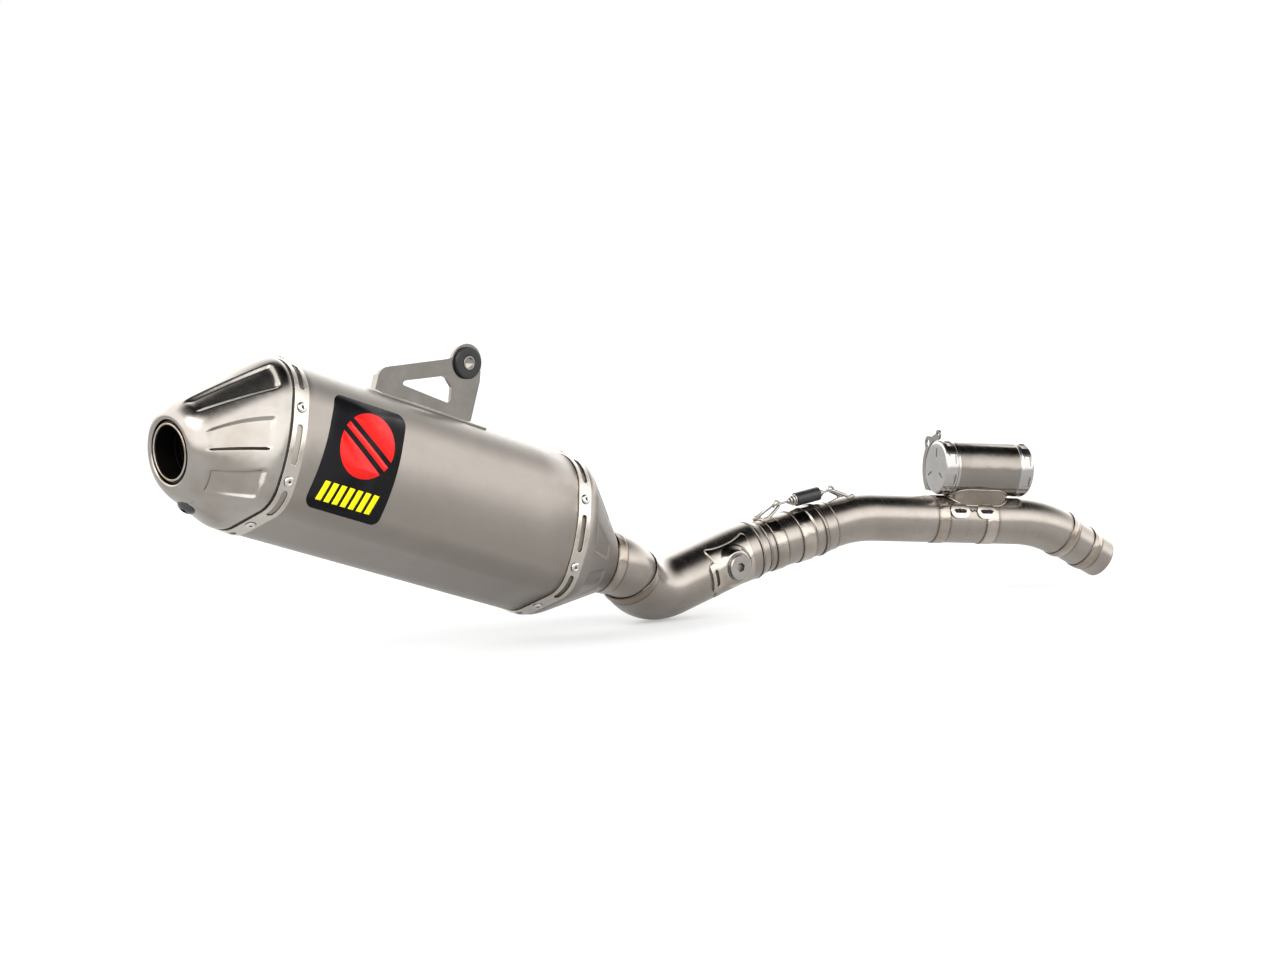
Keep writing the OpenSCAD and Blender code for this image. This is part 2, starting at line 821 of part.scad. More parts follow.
module header_front_band() {
    color(BRIGHT) on_leg(4) weld_band(FRONT_BAND[0], FRONT_BAND[1], header_r, header_band_proud);
}

// Space that both bands take up
module header_band_room() {
    for (b = [REAR_BAND, FRONT_BAND])
        bar_x(b[0] - 0.05, b[1] + 0.05, header_r + band_clear + header_band_proud + 0.05);
}

middle_r = 19.4;
port_r = port_d / 2;
lower_joint = 57;
port_shoulder = 62.1;
port_seat_r = port_r - 0.5;
port_end = 77;

module port_step(from, joint, to, big, small) {
    color(BRIGHT) on_leg(5) turned_x([[from, big + band_clear], [from, big + 0.7], [joint, big + 0.7],
        [to, small + 0.9], [to, small + band_clear], [joint + 0.3, small + band_clear],
        [joint + 0.3, big + band_clear]]);
}

module upper_port_ring() {
    port_step(22.5, port_joint, 33, header_r, middle_r);
}

module port_middle_tube() {
    color(TITANIUM) on_leg(5) ring_x(port_joint + 0.1, lower_joint, middle_r, middle_r - pipe_wall);
}

module lower_port_ring() {
    port_step(51, lower_joint, port_shoulder - 0.1, middle_r, port_r);
}

// Plain end, turned down where the lower ring covers it
module port_tube() {
    color(TITANIUM) on_leg(5) turned_x([[lower_joint + 0.1, port_r - pipe_wall],
        [lower_joint + 0.1, port_seat_r], [port_shoulder, port_seat_r], [port_shoulder, port_r],
        [port_end, port_r], [port_end, port_r - pipe_wall]]);
}

// --- resonance chamber -----------------------------------------------------------------------------------

chamber_r = chamber_d / 2;
chamber_from = 76.5;
chamber_to = chamber_from + chamber_len;
cap_len = 14;
neck_at = 117;
neck_len = 59;
neck_w = 31;
neck_wall = 1.5;
neck_hole_r = 9;
lug_t = 1.6;

module on_chamber() {
    on_leg(4) translate([0, 0, chamber_rise]) children();
}

module stadium(length, width) {
    straight = length - width;
    square([straight, width], center = true);
    for (x = [-1, 1]) translate([x * straight / 2, 0]) circle(d = width);
}

module chamber_neck() {
    color(TITANIUM) on_leg(4) difference() {
        translate([neck_at, 0, 8]) linear_extrude(chamber_rise - 16) stadium(neck_len, neck_w);
        translate([neck_at, 0, 0]) linear_extrude(chamber_rise)
            stadium(neck_len - 2 * neck_wall, neck_w - 2 * neck_wall);
        bar_x(40, 180, header_r + 0.1);
        header_band_room();
        translate([0, 0, chamber_rise]) bar_x(40, 180, chamber_r + 0.1);
    }
}

pad_rear = 94;
pad_front = 120;

// Two slotted pads lapping down the header's right side under the neck
module chamber_weld_pads() {
    color(BRIGHT) on_leg(4) for (x = [pad_rear, pad_front]) difference() {
        intersection() {
            ring_x(x - 9, x + 9, header_r + 1.7, header_r + 0.7);
            translate([x, -header_r, 9.5]) rotate([90, 0, 0]) translate([0, 0, -6]) linear_extrude(12)
                stadium(18, 13);
        }
        translate([x, -header_r, 9.5]) rotate([90, 0, 0]) translate([0, 0, -8]) linear_extrude(16)
            stadium(11, 3);
        translate([neck_at, 0, 8]) linear_extrude(30) stadium(neck_len + 0.2, neck_w + 0.2);
    }
}

module chamber_shell() {
    color(TITANIUM) on_chamber() difference() {
        ring_x(chamber_from + cap_len, chamber_to - cap_len, chamber_r, chamber_r - pipe_wall);
        translate([neck_at, 0, -chamber_r - 5]) cylinder(h = 15, r = neck_hole_r);
    }
}

// Machined cap with eight flats; station 0 is its outer face
module chamber_cap() {
    difference() {
        turned_x([[0, 0], [0, chamber_r - 3], [0.9, chamber_r - 0.9], [3, chamber_r + 0.3],
            [cap_len - 3, chamber_r + 0.3], [cap_len - 2, chamber_r - 0.4], [cap_len - 1, chamber_r - 0.4],
            [cap_len - 0.05, chamber_r], [cap_len - 0.05, chamber_r - pipe_wall - 0.05],
            [cap_len + 5, chamber_r - pipe_wall - 0.05], [cap_len + 5, chamber_r - 3], [3, chamber_r - 3],
            [3, 0]]);
        for (k = [0:7]) rotate([k * 45 + 22.5, 0, 0]) translate([4, -5, chamber_r - 1.1]) cube([5.5, 10, 5]);
        for (k = [0:2]) rotate([k * 120, 0, 0]) translate([-CUT, -0.8, 9]) cube([CUT + 1, 1.6, 8]);
    }
}

module chamber_rear_cap() {
    color(BRIGHT) on_chamber() translate([chamber_from, 0, 0]) chamber_cap();
}

module chamber_front_cap() {
    color(BRIGHT) on_chamber() translate([chamber_to, 0, 0]) mirror([1, 0, 0]) chamber_cap();
}

LUGS = [[21.7, 20.2, 6.5, 3.3], [2, 29, 4.5, 1.9]];

// Crescent on the rear cap's far side, with two drilled lugs
module chamber_lug_plate() {
    color(STEEL) on_chamber() translate([chamber_from + 1, 0, 0]) rotate([90, 0, 90])
        linear_extrude(lug_t) difference() {
            union() {
                intersection() {
                    circle(r = 30);
                    translate([2, -22]) square([40, 60]);
                }
                for (lug = LUGS) translate([lug[0], lug[1]]) circle(r = lug[2]);
            }
            circle(r = chamber_r + 0.4);
            for (lug = LUGS) translate([lug[0], lug[1]]) circle(r = lug[3]);
        }
}

outer_sleeve();
rear_cap();
front_cap();
rear_seam_gasket();
front_seam_gasket();
rear_clamp_band();
front_clamp_band();
rear_rivets();
front_rivets();
outlet_tube();
perforated_core();
inlet_tube();
glass_wool();
hanger_bracket();
hanger_foot();
hanger_grommet();
hanger_bush();
side_badge();
insert_tube();
insert_cone();
insert_screw_boss();
insert_screw();
inlet_collar();
elbow_tube();
elbow_collar();
link_pipe();
boss_saddle();
sensor_boss();
sensor_plug();
plug_washer();
link_reducer();
slip_sleeve();
hook_band();
mouth_band();
rear_spring_loop();
joint_spring();
spring_sleeve();
front_spring_loop();
header_spigot();
spigot_collar();
header_tube();
header_rear_band();
header_front_band();
upper_port_ring();
port_middle_tube();
lower_port_ring();
port_tube();
chamber_neck();
chamber_weld_pads();
chamber_shell();
chamber_rear_cap();
chamber_front_cap();
chamber_lug_plate();
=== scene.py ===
import math
import bmesh
import bpy
import numpy as np
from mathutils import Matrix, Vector


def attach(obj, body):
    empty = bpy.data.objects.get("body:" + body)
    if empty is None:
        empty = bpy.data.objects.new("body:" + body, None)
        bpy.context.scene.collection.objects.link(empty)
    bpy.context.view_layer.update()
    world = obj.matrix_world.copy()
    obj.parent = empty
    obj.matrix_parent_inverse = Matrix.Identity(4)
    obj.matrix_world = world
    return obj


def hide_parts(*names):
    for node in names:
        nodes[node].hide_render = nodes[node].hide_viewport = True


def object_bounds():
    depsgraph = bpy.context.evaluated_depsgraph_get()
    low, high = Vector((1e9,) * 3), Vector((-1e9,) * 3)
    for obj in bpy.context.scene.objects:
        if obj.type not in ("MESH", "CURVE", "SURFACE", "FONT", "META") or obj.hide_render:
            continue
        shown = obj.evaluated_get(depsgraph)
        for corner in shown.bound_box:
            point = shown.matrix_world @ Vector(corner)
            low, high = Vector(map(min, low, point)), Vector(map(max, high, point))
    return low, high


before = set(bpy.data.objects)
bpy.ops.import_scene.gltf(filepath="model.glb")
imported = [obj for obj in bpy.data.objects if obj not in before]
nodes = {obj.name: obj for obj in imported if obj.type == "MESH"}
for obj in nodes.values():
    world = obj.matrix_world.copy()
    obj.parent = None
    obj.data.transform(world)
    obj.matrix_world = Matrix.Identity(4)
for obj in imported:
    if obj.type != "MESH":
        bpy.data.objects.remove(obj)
cad_box = [[float(c) for c in corner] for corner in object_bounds()]
scene = bpy.context.scene


# ---------------------------------------------------------------- frames (mm)
def unit(v):
    v = np.asarray(v, float)
    return v / np.linalg.norm(v)


def turn_y(v, degrees):
    c, s = math.cos(math.radians(degrees)), math.sin(math.radians(degrees))
    return np.array([v[0] * c + v[2] * s, v[1], v[2] * c - v[0] * s])


def frame_of(origin, x, z):
    m = np.eye(4)
    m[:3, 0], m[:3, 1], m[:3, 2], m[:3, 3] = x, np.cross(z, x), z, origin
    return m


def shifted(m, offset):
    out = m.copy()
    out[:3, 3] = m[:3, :3] @ np.asarray(offset, float) + m[:3, 3]
    return out


BODY_TILT, BODY_LEN, BAND_W, OUTLET_DROOP, OUTLET_REACH = 17.1, 285.0, 13.0, 3.0, 62.0
SLEEVE_LEN = BODY_LEN + BAND_W
GASKET_T, SHOULDER, SLEEVE_WALL, CAP_WALL = 1.6, 6.0, 1.2, 1.5
LINK_R, HEADER_R, SLIP_R, PIPE_WALL = 25.35, 21.0, 22.8, 1.2
SEAM = -turn_y((179, -10, 110.5), BODY_TILT)
BODY = frame_of(SEAM, turn_y((1, 0, 0), BODY_TILT), turn_y((0, 0, 1), BODY_TILT))
OUTLET = frame_of(SEAM, turn_y((1, 0, 0), -OUTLET_DROOP), turn_y((0, 0, 1), -OUTLET_DROOP))
FRONT = SEAM + turn_y((BODY_LEN, 0, 0), BODY_TILT)
RUN = [FRONT + np.array(p, float) for p in (
    (84, 4, -31), (107, 0.5, -37), (141, 13, -68.5), (243, 6.5, -39), (362, -23.5, -12),
    (530, -97.5, -22.5), (595, -114.5, -58.5))]
BEND_R = (0, 38, 54, 146, 116, 111, 0)


def leg_run(i):
    return unit(RUN[i + 1] - RUN[i])


def leg_length(i):
    return float(np.linalg.norm(RUN[i + 1] - RUN[i]))


def tangent(i):
    turn = math.acos(float(np.clip(leg_run(i - 1) @ leg_run(i), -1, 1)))
    return BEND_R[i] * math.tan(turn / 2)


def leg(i):
    run = leg_run(i)
    up = np.array([0.0, 0.0, 1.0])
    return frame_of(RUN[i], run, unit(up - run * run[2]))


BOSS_AT = 85.0
run2 = leg_run(2)
BOSS = frame_of(RUN[2] + run2 * BOSS_AT, run2, unit(np.array([0, -1.0, 0]) + run2 * run2[1]))
CHAMBER_R, CHAMBER_RISE, NECK_AT = 24.0, 46.5, 117.0

# ---------------------------------------------------------------- oval section
ARCS = ((0, -134, 200, 90, 86), (14, 25.5, 40, 84, 16), (-59.5, -8, 120, 17.5, -7),
        (34.5, -26, 24.5, -8, -62), (0, -25, 40, -66, -90))


def half_section():
    out = []
    for cx, cy, r, a, b in ARCS:
        count = max(4, int(abs(a - b) * math.pi / 180 * r / 0.4))
        for t in np.radians(np.linspace(a, b, count + 1)):
            out.append((cx + r * math.cos(t), cy + r * math.sin(t), math.degrees(t)))
    return np.array(out)


HALF = half_section()
HALF_S = np.r_[0, np.cumsum(np.hypot(*np.diff(HALF[:, :2], axis=0).T))]
HALF_LEN = float(HALF_S[-1])


def section(fraction, grow=0.0):
    """Across, up and normal angle, in degrees, at fractions of the half outline from the top."""
    s = np.clip(fraction, 0, 1) * HALF_LEN
    angle = np.interp(s, HALF_S, HALF[:, 2])
    across = np.interp(s, HALF_S, HALF[:, 0]) + grow * np.cos(np.radians(angle))
    up = np.interp(s, HALF_S, HALF[:, 1]) + grow * np.sin(np.radians(angle))
    across = np.where((fraction <= 0) | (fraction >= 1), 0, across)
    return across, up, angle


def around(count):
    """Side sign and fraction from the top for count places round the whole outline."""
    w = (np.arange(count)) / count
    side = np.where(w <= 0.5, -1.0, 1.0)
    fraction = np.where(w <= 0.5, 2 * w, 2 - 2 * w)
    return side, fraction


def oval_ring(count, station, grow=0.0):
    side, fraction = around(count)
    across, up, _ = section(fraction, grow)
    return np.stack([np.full(count, float(station)), side * across, up], 1)


# ---------------------------------------------------------------- mesh building
def moved(points, m):
    return np.asarray(points, float) @ m[:3, :3].T + m[:3, 3]


def build(name, points, faces, m, material, body, replaces=(), values=None, flat=False):
    mesh = bpy.data.meshes.new(name)
    mesh.from_pydata((moved(points, m) * 0.001).tolist(), [], [list(map(int, f)) for f in faces])
    bm = bmesh.new()
    bm.from_mesh(mesh)
    bmesh.ops.recalc_face_normals(bm, faces=bm.faces)
    bm.to_mesh(mesh)
    bm.free()
    mesh.polygons.foreach_set("use_smooth", [not flat] * len(mesh.polygons))
    for key, data in (values or {}).items():
        layer = mesh.attributes.new(key, "FLOAT", "POINT")
        layer.data.foreach_set("value", np.asarray(data, np.float32))
    mesh.materials.append(material)
    mesh.update()
    obj = bpy.data.objects.new(name, mesh)
    scene.collection.objects.link(obj)
    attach(obj, body)
    if replaces:
        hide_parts(*replaces)
    return obj


def skin(rings, loop=True):
    """Points and quads through equal rings; loop joins the last ring to the first."""
    rings = np.asarray(rings, float)
    count, n, _ = rings.shape
    faces = []
    for j in range(count if loop else count - 1):
        a, b = j * n, ((j + 1) % count) * n
        for i in range(n):
            k = (i + 1) % n
            faces.append((a + i, b + i, b + k, a + k))
    return rings.reshape(-1, 3), faces


def turned(profile, count=128):
    """Closed profile of (station, radius) turned about X."""
    t = np.linspace(0, 2 * math.pi, count, endpoint=False)
    return skin([np.stack([np.full(count, x), r * np.cos(t), r * np.sin(t)], 1) for x, r in profile])


def carried(path):
    """Frames carried without twist along a path of points."""
    path = np.asarray(path, float)
    forward = np.gradient(path, axis=0)
    forward /= np.linalg.norm(forward, axis=1)[:, None]
    side = np.cross(forward[0], [0.13, 0.31, 0.94])
    side /= np.linalg.norm(side)
    out = []
    for f in forward:
        side = side - f * (side @ f)
        side /= np.linalg.norm(side)
        out.append((f, side, np.cross(f, side)))
    return out


def wire(path, radii, count=14, closed=False):
    """Round wire through a path, with round ends, or a ring if closed."""
    path = np.asarray(path, float)
    radii = np.broadcast_to(np.asarray(radii, float), (len(path),)).copy()
    if closed:
        forward = np.roll(path, -1, 0) - np.roll(path, 1, 0)
        forward /= np.linalg.norm(forward, axis=1)[:, None]
        frames, centre = [], path.mean(0)
        for p, f in zip(path, forward):
            side = p - centre
            side = unit(side - f * (side @ f))
            frames.append((f, side, np.cross(f, side)))
    else:
        f0, f1 = unit(path[1] - path[0]), unit(path[-1] - path[-2])
        r0, r1 = radii[0], radii[-1]
        steps = np.radians([80, 55, 28])
        head = [path[0] - f0 * r0 * math.sin(a) for a in steps]
        tail = [path[-1] + f1 * r1 * math.sin(a) for a in steps[::-1]]
        path = np.vstack([head, path, tail])
        radii = np.r_[[r0 * math.cos(a) for a in steps], radii, [r1 * math.cos(a) for a in steps[::-1]]]
        frames = carried(path)
    t = np.linspace(0, 2 * math.pi, count, endpoint=False)
    rings = [p + r * (np.outer(np.cos(t), s) + np.outer(np.sin(t), u))
             for p, r, (_, s, u) in zip(path, radii, frames)]
    points, faces = skin(rings, loop=closed)
    if not closed:
        last = (len(rings) - 1) * count
        faces.append(tuple(range(count))[::-1])
        faces.append(tuple(range(last, last + count)))
    return points, faces


def joined(parts):
    points, faces, base = [], [], 0
    for p, f in parts:
        points.append(p)
        faces += [tuple(i + base for i in face) for face in f]
        base += len(p)
    return np.vstack(points), faces


def smooth_path(points, per=10, closed=False):
    """Catmull-Rom curve through points."""
    p = np.asarray(points, float)
    n = len(p)
    out = []
    for i in range(n if closed else n - 1):
        if closed:
            a, b, c, d = p[i - 1], p[i], p[(i + 1) % n], p[(i + 2) % n]
        else:
            b, c = p[i], p[i + 1]
            a = p[i - 1] if i else 2 * b - c
            d = p[i + 2] if i + 2 < n else 2 * c - b
        for t in np.arange(per) / per:
            out.append(0.5 * (2 * b + (c - a) * t + (2 * a - 5 * b + 4 * c - d) * t * t
                              + (3 * b - a - 3 * c + d) * t ** 3))
    if not closed:
        out.append(p[-1])
    return np.array(out)


def hump(t):
    return np.clip(t, 0, 1) ** 2 * (3 - 2 * np.clip(t, 0, 1))


# ---------------------------------------------------------------- materials
class Paint:
    """Helpers round one material's node tree; coordinates are the object's own."""

    def __init__(self, name):
        self.material = bpy.data.materials.new(name)
        self.material.use_nodes = True
        self.tree = self.material.node_tree
        self.shader = self.tree.nodes["Principled BSDF"]
        self.coords = self.tree.nodes.new("ShaderNodeTexCoord").outputs["Object"]

    def node(self, kind, **settings):
        n = self.tree.nodes.new(kind)
        for key, value in settings.items():
            if hasattr(n, key):
                setattr(n, key, value)
            else:
                n.inputs[key.replace("_", " ")].default_value = value
        return n

    def link(self, a, b):
        self.tree.links.new(a, b)

    def feed(self, source, socket):
        """Give a socket a number, a colour or another node's output."""
        if isinstance(source, (int, float)):
            socket.default_value = source
        elif isinstance(source, tuple):
            socket.default_value = (*source, 1)
        else:
            self.link(source, socket)

    def noise(self, scale, detail=3.0, roughness=0.55, stretch=None, turn=None):
        n = self.node("ShaderNodeTexNoise", Scale=scale, Detail=detail, Roughness=roughness)
        source = self.coords
        if stretch or turn:
            m = self.node("ShaderNodeMapping")
            m.vector_type = "TEXTURE" if turn else "POINT"
            if turn:
                m.inputs["Rotation"].default_value = turn
                if stretch:
                    m.inputs["Scale"].default_value = [1 / s for s in stretch]
            else:
                m.inputs["Scale"].default_value = stretch
            self.link(self.coords, m.inputs["Vector"])
            source = m.outputs["Vector"]
        self.link(source, n.inputs["Vector"])
        return n.outputs["Fac"]

    def ramp(self, source, stops):
        r = self.node("ShaderNodeValToRGB")
        while len(r.color_ramp.elements) < len(stops):
            r.color_ramp.elements.new(0.5)
        for e, (at, colour) in zip(r.color_ramp.elements, stops):
            e.position = at
            e.color = (*colour, 1) if not isinstance(colour, (int, float)) else (colour,) * 3 + (1,)
        self.link(source, r.inputs["Fac"])
        return r.outputs["Color"]

    def mapped(self, source, low, high, start=0.3, end=0.7):
        m = self.node("ShaderNodeMapRange")
        for key, value in (("From Min", start), ("From Max", end), ("To Min", low), ("To Max", high)):
            m.inputs[key].default_value = value
        self.link(source, m.inputs["Value"])
        return m.outputs["Result"]

    def mix(self, factor, a, b, blend="MIX"):
        m = self.node("ShaderNodeMix", data_type="RGBA", blend_type=blend)
        for source, socket in ((factor, m.inputs[0]), (a, m.inputs[6]), (b, m.inputs[7])):
            self.feed(source, socket)
        return m.outputs[2]

    def times(self, a, b, operation="MULTIPLY"):
        m = self.node("ShaderNodeMath", operation=operation)
        for source, socket in ((a, m.inputs[0]), (b, m.inputs[1])):
            self.feed(source, socket)
        return m.outputs[0]

    def value(self, name):
        return self.node("ShaderNodeAttribute", attribute_name=name).outputs["Fac"]

    def bump(self, source, strength, distance):
        b = self.node("ShaderNodeBump", Strength=strength, Distance=distance)
        self.link(source, b.inputs["Height"])
        last = self.shader.inputs["Normal"]
        if last.is_linked:
            self.link(last.links[0].from_socket, b.inputs["Normal"])
        self.link(b.outputs["Normal"], last)

    def finish(self, colour, rough, metallic=1.0, **uniform):
        self.shader.inputs["Metallic"].default_value = metallic
        self.feed(colour, self.shader.inputs["Base Color"])
        self.feed(rough, self.shader.inputs["Roughness"])
        for key, value in uniform.items():
            self.shader.inputs[key.replace("_", " ")].default_value = value
        return self.material


def shade(colour, k):
    return tuple(min(1.0, c * k) for c in colour)


# Heat tints of titanium, from cool to hot
STRAW, BROWN = (0.3465, 0.2625, 0.17325), (0.17, 0.105, 0.07)
VIOLET, BLUE = (0.14, 0.10, 0.13), (0.15, 0.19, 0.27)


def metal(name, colour, rough, spread=0.03, grain=0.1, grain_scale=2600.0, blotch=0.1,
          heat=False, stretch=None, turn=None, tint=None, wavy=0.0003, bore_shade=False):
    p = Paint(name)
    coarse = p.noise(38.0, 4.0, 0.6)
    body = p.ramp(coarse, ((0.3, shade(colour, 1 - blotch)), (0.7, shade(colour, 1 + blotch * 0.7))))
    if tint:
        body = p.mix(p.ramp(p.noise(22.0, 3.0), ((0.46, 0.0), (0.62, 1.0))), body, tint)
    if heat:
        wave = p.mapped(p.noise(130.0, 3.0), -0.12, 0.12)
        hot = p.times(p.value("heat"), wave, "ADD")
        shades = p.ramp(hot, ((0.0, colour), (0.28, STRAW), (0.6, BROWN), (0.84, VIOLET), (1.0, BLUE)))
        body = p.mix(p.ramp(hot, ((0.04, 0.0), (0.6, 0.9))), body, shades)
        body = p.mix(p.value("edge"), body, (0.045, 0.035, 0.03))
    fine = p.noise(grain_scale, 2.0, 0.5, stretch, turn)
    mid = p.noise(210.0, 4.0, 0.6)
    roughness = p.mapped(mid, rough - spread, rough + spread)
    p.bump(p.noise(46.0, 2.0, 0.45), 1.0, wavy)
    p.bump(fine, grain, 0.000007)
    p.bump(mid, 0.1, 0.00001)
    # painted shade: where the bore attribute is set, the colour is mixed to near black and the roughness
    # raised
    if bore_shade:
        black = p.value("bore_shade")
        body = p.mix(black, body, (0.011, 0.0095, 0.0085))
        roughness = p.times(roughness, p.times(black, 0.4), "ADD")
    return p.finish(body, roughness)


TURN = (0, math.radians(BODY_TILT), 0)
M = {
    "pipe": metal("pipe_titanium", (0.30, 0.27, 0.241), 0.25, 0.03, 0.08, heat=True, blotch=0.1, wavy=0.0002),
    "sleeve": metal("sleeve_titanium", (0.245, 0.2215, 0.198), 0.34, 0.025, 0.35, 3200.0, 0.04,
                    stretch=(0.12, 1, 1), turn=TURN, wavy=0.00015),
    "cap": metal("cap_titanium", (0.32, 0.298, 0.272), 0.22, 0.03, 0.12, 2600.0, 0.08,
                 tint=(0.27, 0.245, 0.215), wavy=0.0003),
    "band": metal("band_titanium", (0.45, 0.418, 0.375), 0.15, 0.04, 0.08, 2000.0, 0.06, wavy=0.0007),
    "weld": metal("weld_band", (0.39, 0.352, 0.307), 0.17, 0.05, 0.06, 1500.0, 0.2, heat=True, wavy=0.0020,
                  tint=(0.26, 0.215, 0.175)),
    "weld_plain": metal("formed_patch", (0.43, 0.392, 0.345), 0.16, 0.04, 0.06, 1500.0, 0.16, wavy=0.0014,
                        tint=(0.28, 0.235, 0.19)),
    "neck": metal("neck_titanium", (0.215, 0.182, 0.152), 0.19, 0.04, 0.06, 1500.0, 0.2, wavy=0.0012,
                  tint=(0.12, 0.098, 0.08)),
    "burnt": metal("burnt_seam", (0.035, 0.033, 0.04), 0.24, 0.06, 0.1, 1500.0, 0.3, tint=(0.09, 0.12, 0.2)),
    "bead": metal("weld_bead", (0.40, 0.36, 0.315), 0.2, 0.06, 0.08, 1500.0, 0.2, heat=True, wavy=0.0006),
    "chamber": metal("chamber_titanium", (0.23, 0.209, 0.187), 0.22, 0.03, 0.08, 2400.0, 0.06,
                     tint=(0.19, 0.165, 0.138), wavy=0.0008),
    "chamber_cap": metal("chamber_cap_machined", (0.38, 0.368, 0.352), 0.19, 0.03, 0.08, 2400.0, 0.05,
                         wavy=0.0004),
    "bracket": metal("bracket_titanium", (0.26, 0.24, 0.218), 0.22, 0.04, 0.15, 2600.0, 0.12, wavy=0.0006),
    "steel": metal("fastener_steel", (0.52, 0.505, 0.485), 0.17, 0.04, 0.08, 2200.0, 0.06, wavy=0.0002),
    "spring": metal("spring_steel", (0.38, 0.36, 0.335), 0.2, 0.05, 0.12, 2400.0, 0.15, wavy=0.0002),
    "inner": metal("inner_steel", (0.06, 0.052, 0.045), 0.55, 0.08, 0.3, 1800.0, 0.25,
                   tint=(0.03, 0.026, 0.022)),
    "insert": metal("insert_steel", (0.42, 0.38, 0.33), 0.2, 0.05, 0.12, 2000.0, 0.15,
                    tint=(0.26, 0.20, 0.14), bore_shade=True),
}


def rubber(name, colour, rough, grain_scale, strength, specular=0.4):
    p = Paint(name)
    body = p.ramp(p.noise(120.0, 3.0), ((0.3, shade(colour, 0.75)), (0.7, shade(colour, 1.35))))
    dust = p.ramp(p.noise(420.0, 4.0), ((0.6, 0.0), (0.78, 0.35)))
    body = p.mix(dust, body, shade(colour, 3.0))
    p.bump(p.noise(grain_scale, 3.0), strength, 0.00006)
    return p.finish(body, p.mapped(p.noise(300.0, 3.0), rough - 0.08, rough + 0.08), 0.0,
                    Specular_IOR_Level=specular)


M["rubber"] = rubber("rubber_black", (0.012, 0.012, 0.013), 0.5, 2500.0, 0.4)
M["gasket"] = rubber("gasket_black", (0.012, 0.011, 0.01), 0.55, 2500.0, 0.4, 0.3)
M["silicone"] = rubber("silicone_black", (0.012, 0.012, 0.013), 0.38, 1800.0, 0.3, 0.5)
M["screw"] = rubber("screw_black_oxide", (0.02, 0.02, 0.022), 0.3, 2500.0, 0.3, 0.6)


def foil(name, colour, rough=0.34, specular=0.16):
    p = Paint(name)
    body = p.ramp(p.noise(90.0, 3.0), ((0.3, shade(colour, 0.9)), (0.7, shade(colour, 1.1))))
    p.bump(p.noise(700.0, 2.0), 0.05, 0.00004)
    return p.finish(body, p.mapped(p.noise(160.0, 3.0), rough - 0.05, rough + 0.06), 0.0,
                    Specular_IOR_Level=specular)


M["badge"] = foil("badge_black_foil", (0.004, 0.004, 0.005), 0.3, 0.08)
M["red"] = foil("badge_red_foil", (0.80, 0.012, 0.01))
M["yellow"] = foil("badge_yellow_foil", (0.88, 0.78, 0.0))


def wool(name):
    p = Paint(name)
    body = p.ramp(p.noise(900.0, 5.0, 0.7), ((0.3, (0.45, 0.40, 0.30)), (0.7, (0.80, 0.76, 0.65))))
    p.bump(p.noise(1500.0, 5.0, 0.7, (1, 0.2, 1)), 0.8, 0.0006)
    return p.finish(body, p.mapped(p.noise(500.0, 3.0), 0.75, 0.95), 0.0, Sheen_Weight=0.3)


M["wool"] = wool("glass_wool")


# ---------------------------------------------------------------- muffler pressings
SEAM_GIRTH, MOUTH_GIRTH = 205.0, 84.0  # half round the cap, in mm


def pressed(u, fraction, panels, length):
    """Depth of the pressed panels at places along a cap, u from seam to mouth."""
    depth = np.zeros(np.broadcast(u, fraction).shape)
    girth = SEAM_GIRTH * (1 - u) + MOUTH_GIRTH * u
    for far0, far1, near0, near1, u0, u1, deep, soft in panels:
        t = np.clip((u - u0) / (u1 - u0), 0, 1)
        f0, f1 = far0 + (near0 - far0) * t, far1 + (near1 - far1) * t
        a = np.minimum(fraction - f0, f1 - fraction) * girth
        b = np.minimum(u - u0, u1 - u) * length
        corner = 3.0
        qa, qb = np.maximum(corner - a, 0), np.maximum(corner - b, 0)
        edge = np.where((a < corner) & (b < corner), corner - np.hypot(qa, qb), np.minimum(a, b))
        depth = np.maximum(depth, deep * hump(edge / soft))
    return depth


# Pressed panels: girth fractions at the seam end, then at the mouth end, run, depth, edge softness
REAR_PANELS = ((0.15, 0.285, 0.08, 0.215, 0.05, 0.86, 2.1, 3.4),
               (0.385, 0.52, 0.31, 0.5, 0.09, 0.84, 2.1, 3.0),
               (0.585, 0.71, 0.63, 0.755, 0.09, 0.82, 2.2, 3.0),
               (0.8, 0.93, 0.85, 0.95, 0.08, 0.78, 1.6, 2.8))
FRONT_PANELS = ((0.2, 0.34, 0.24, 0.36, 0.1, 0.62, 0.8, 3.0),
                (0.4, 0.54, 0.42, 0.54, 0.1, 0.62, 0.8, 3.0),
                (0.62, 0.76, 0.6, 0.74, 0.1, 0.62, 0.8, 3.0))


def bezier(a, b, c, t):
    return a * (1 - t) ** 2 + b * 2 * t * (1 - t) + c * t * t


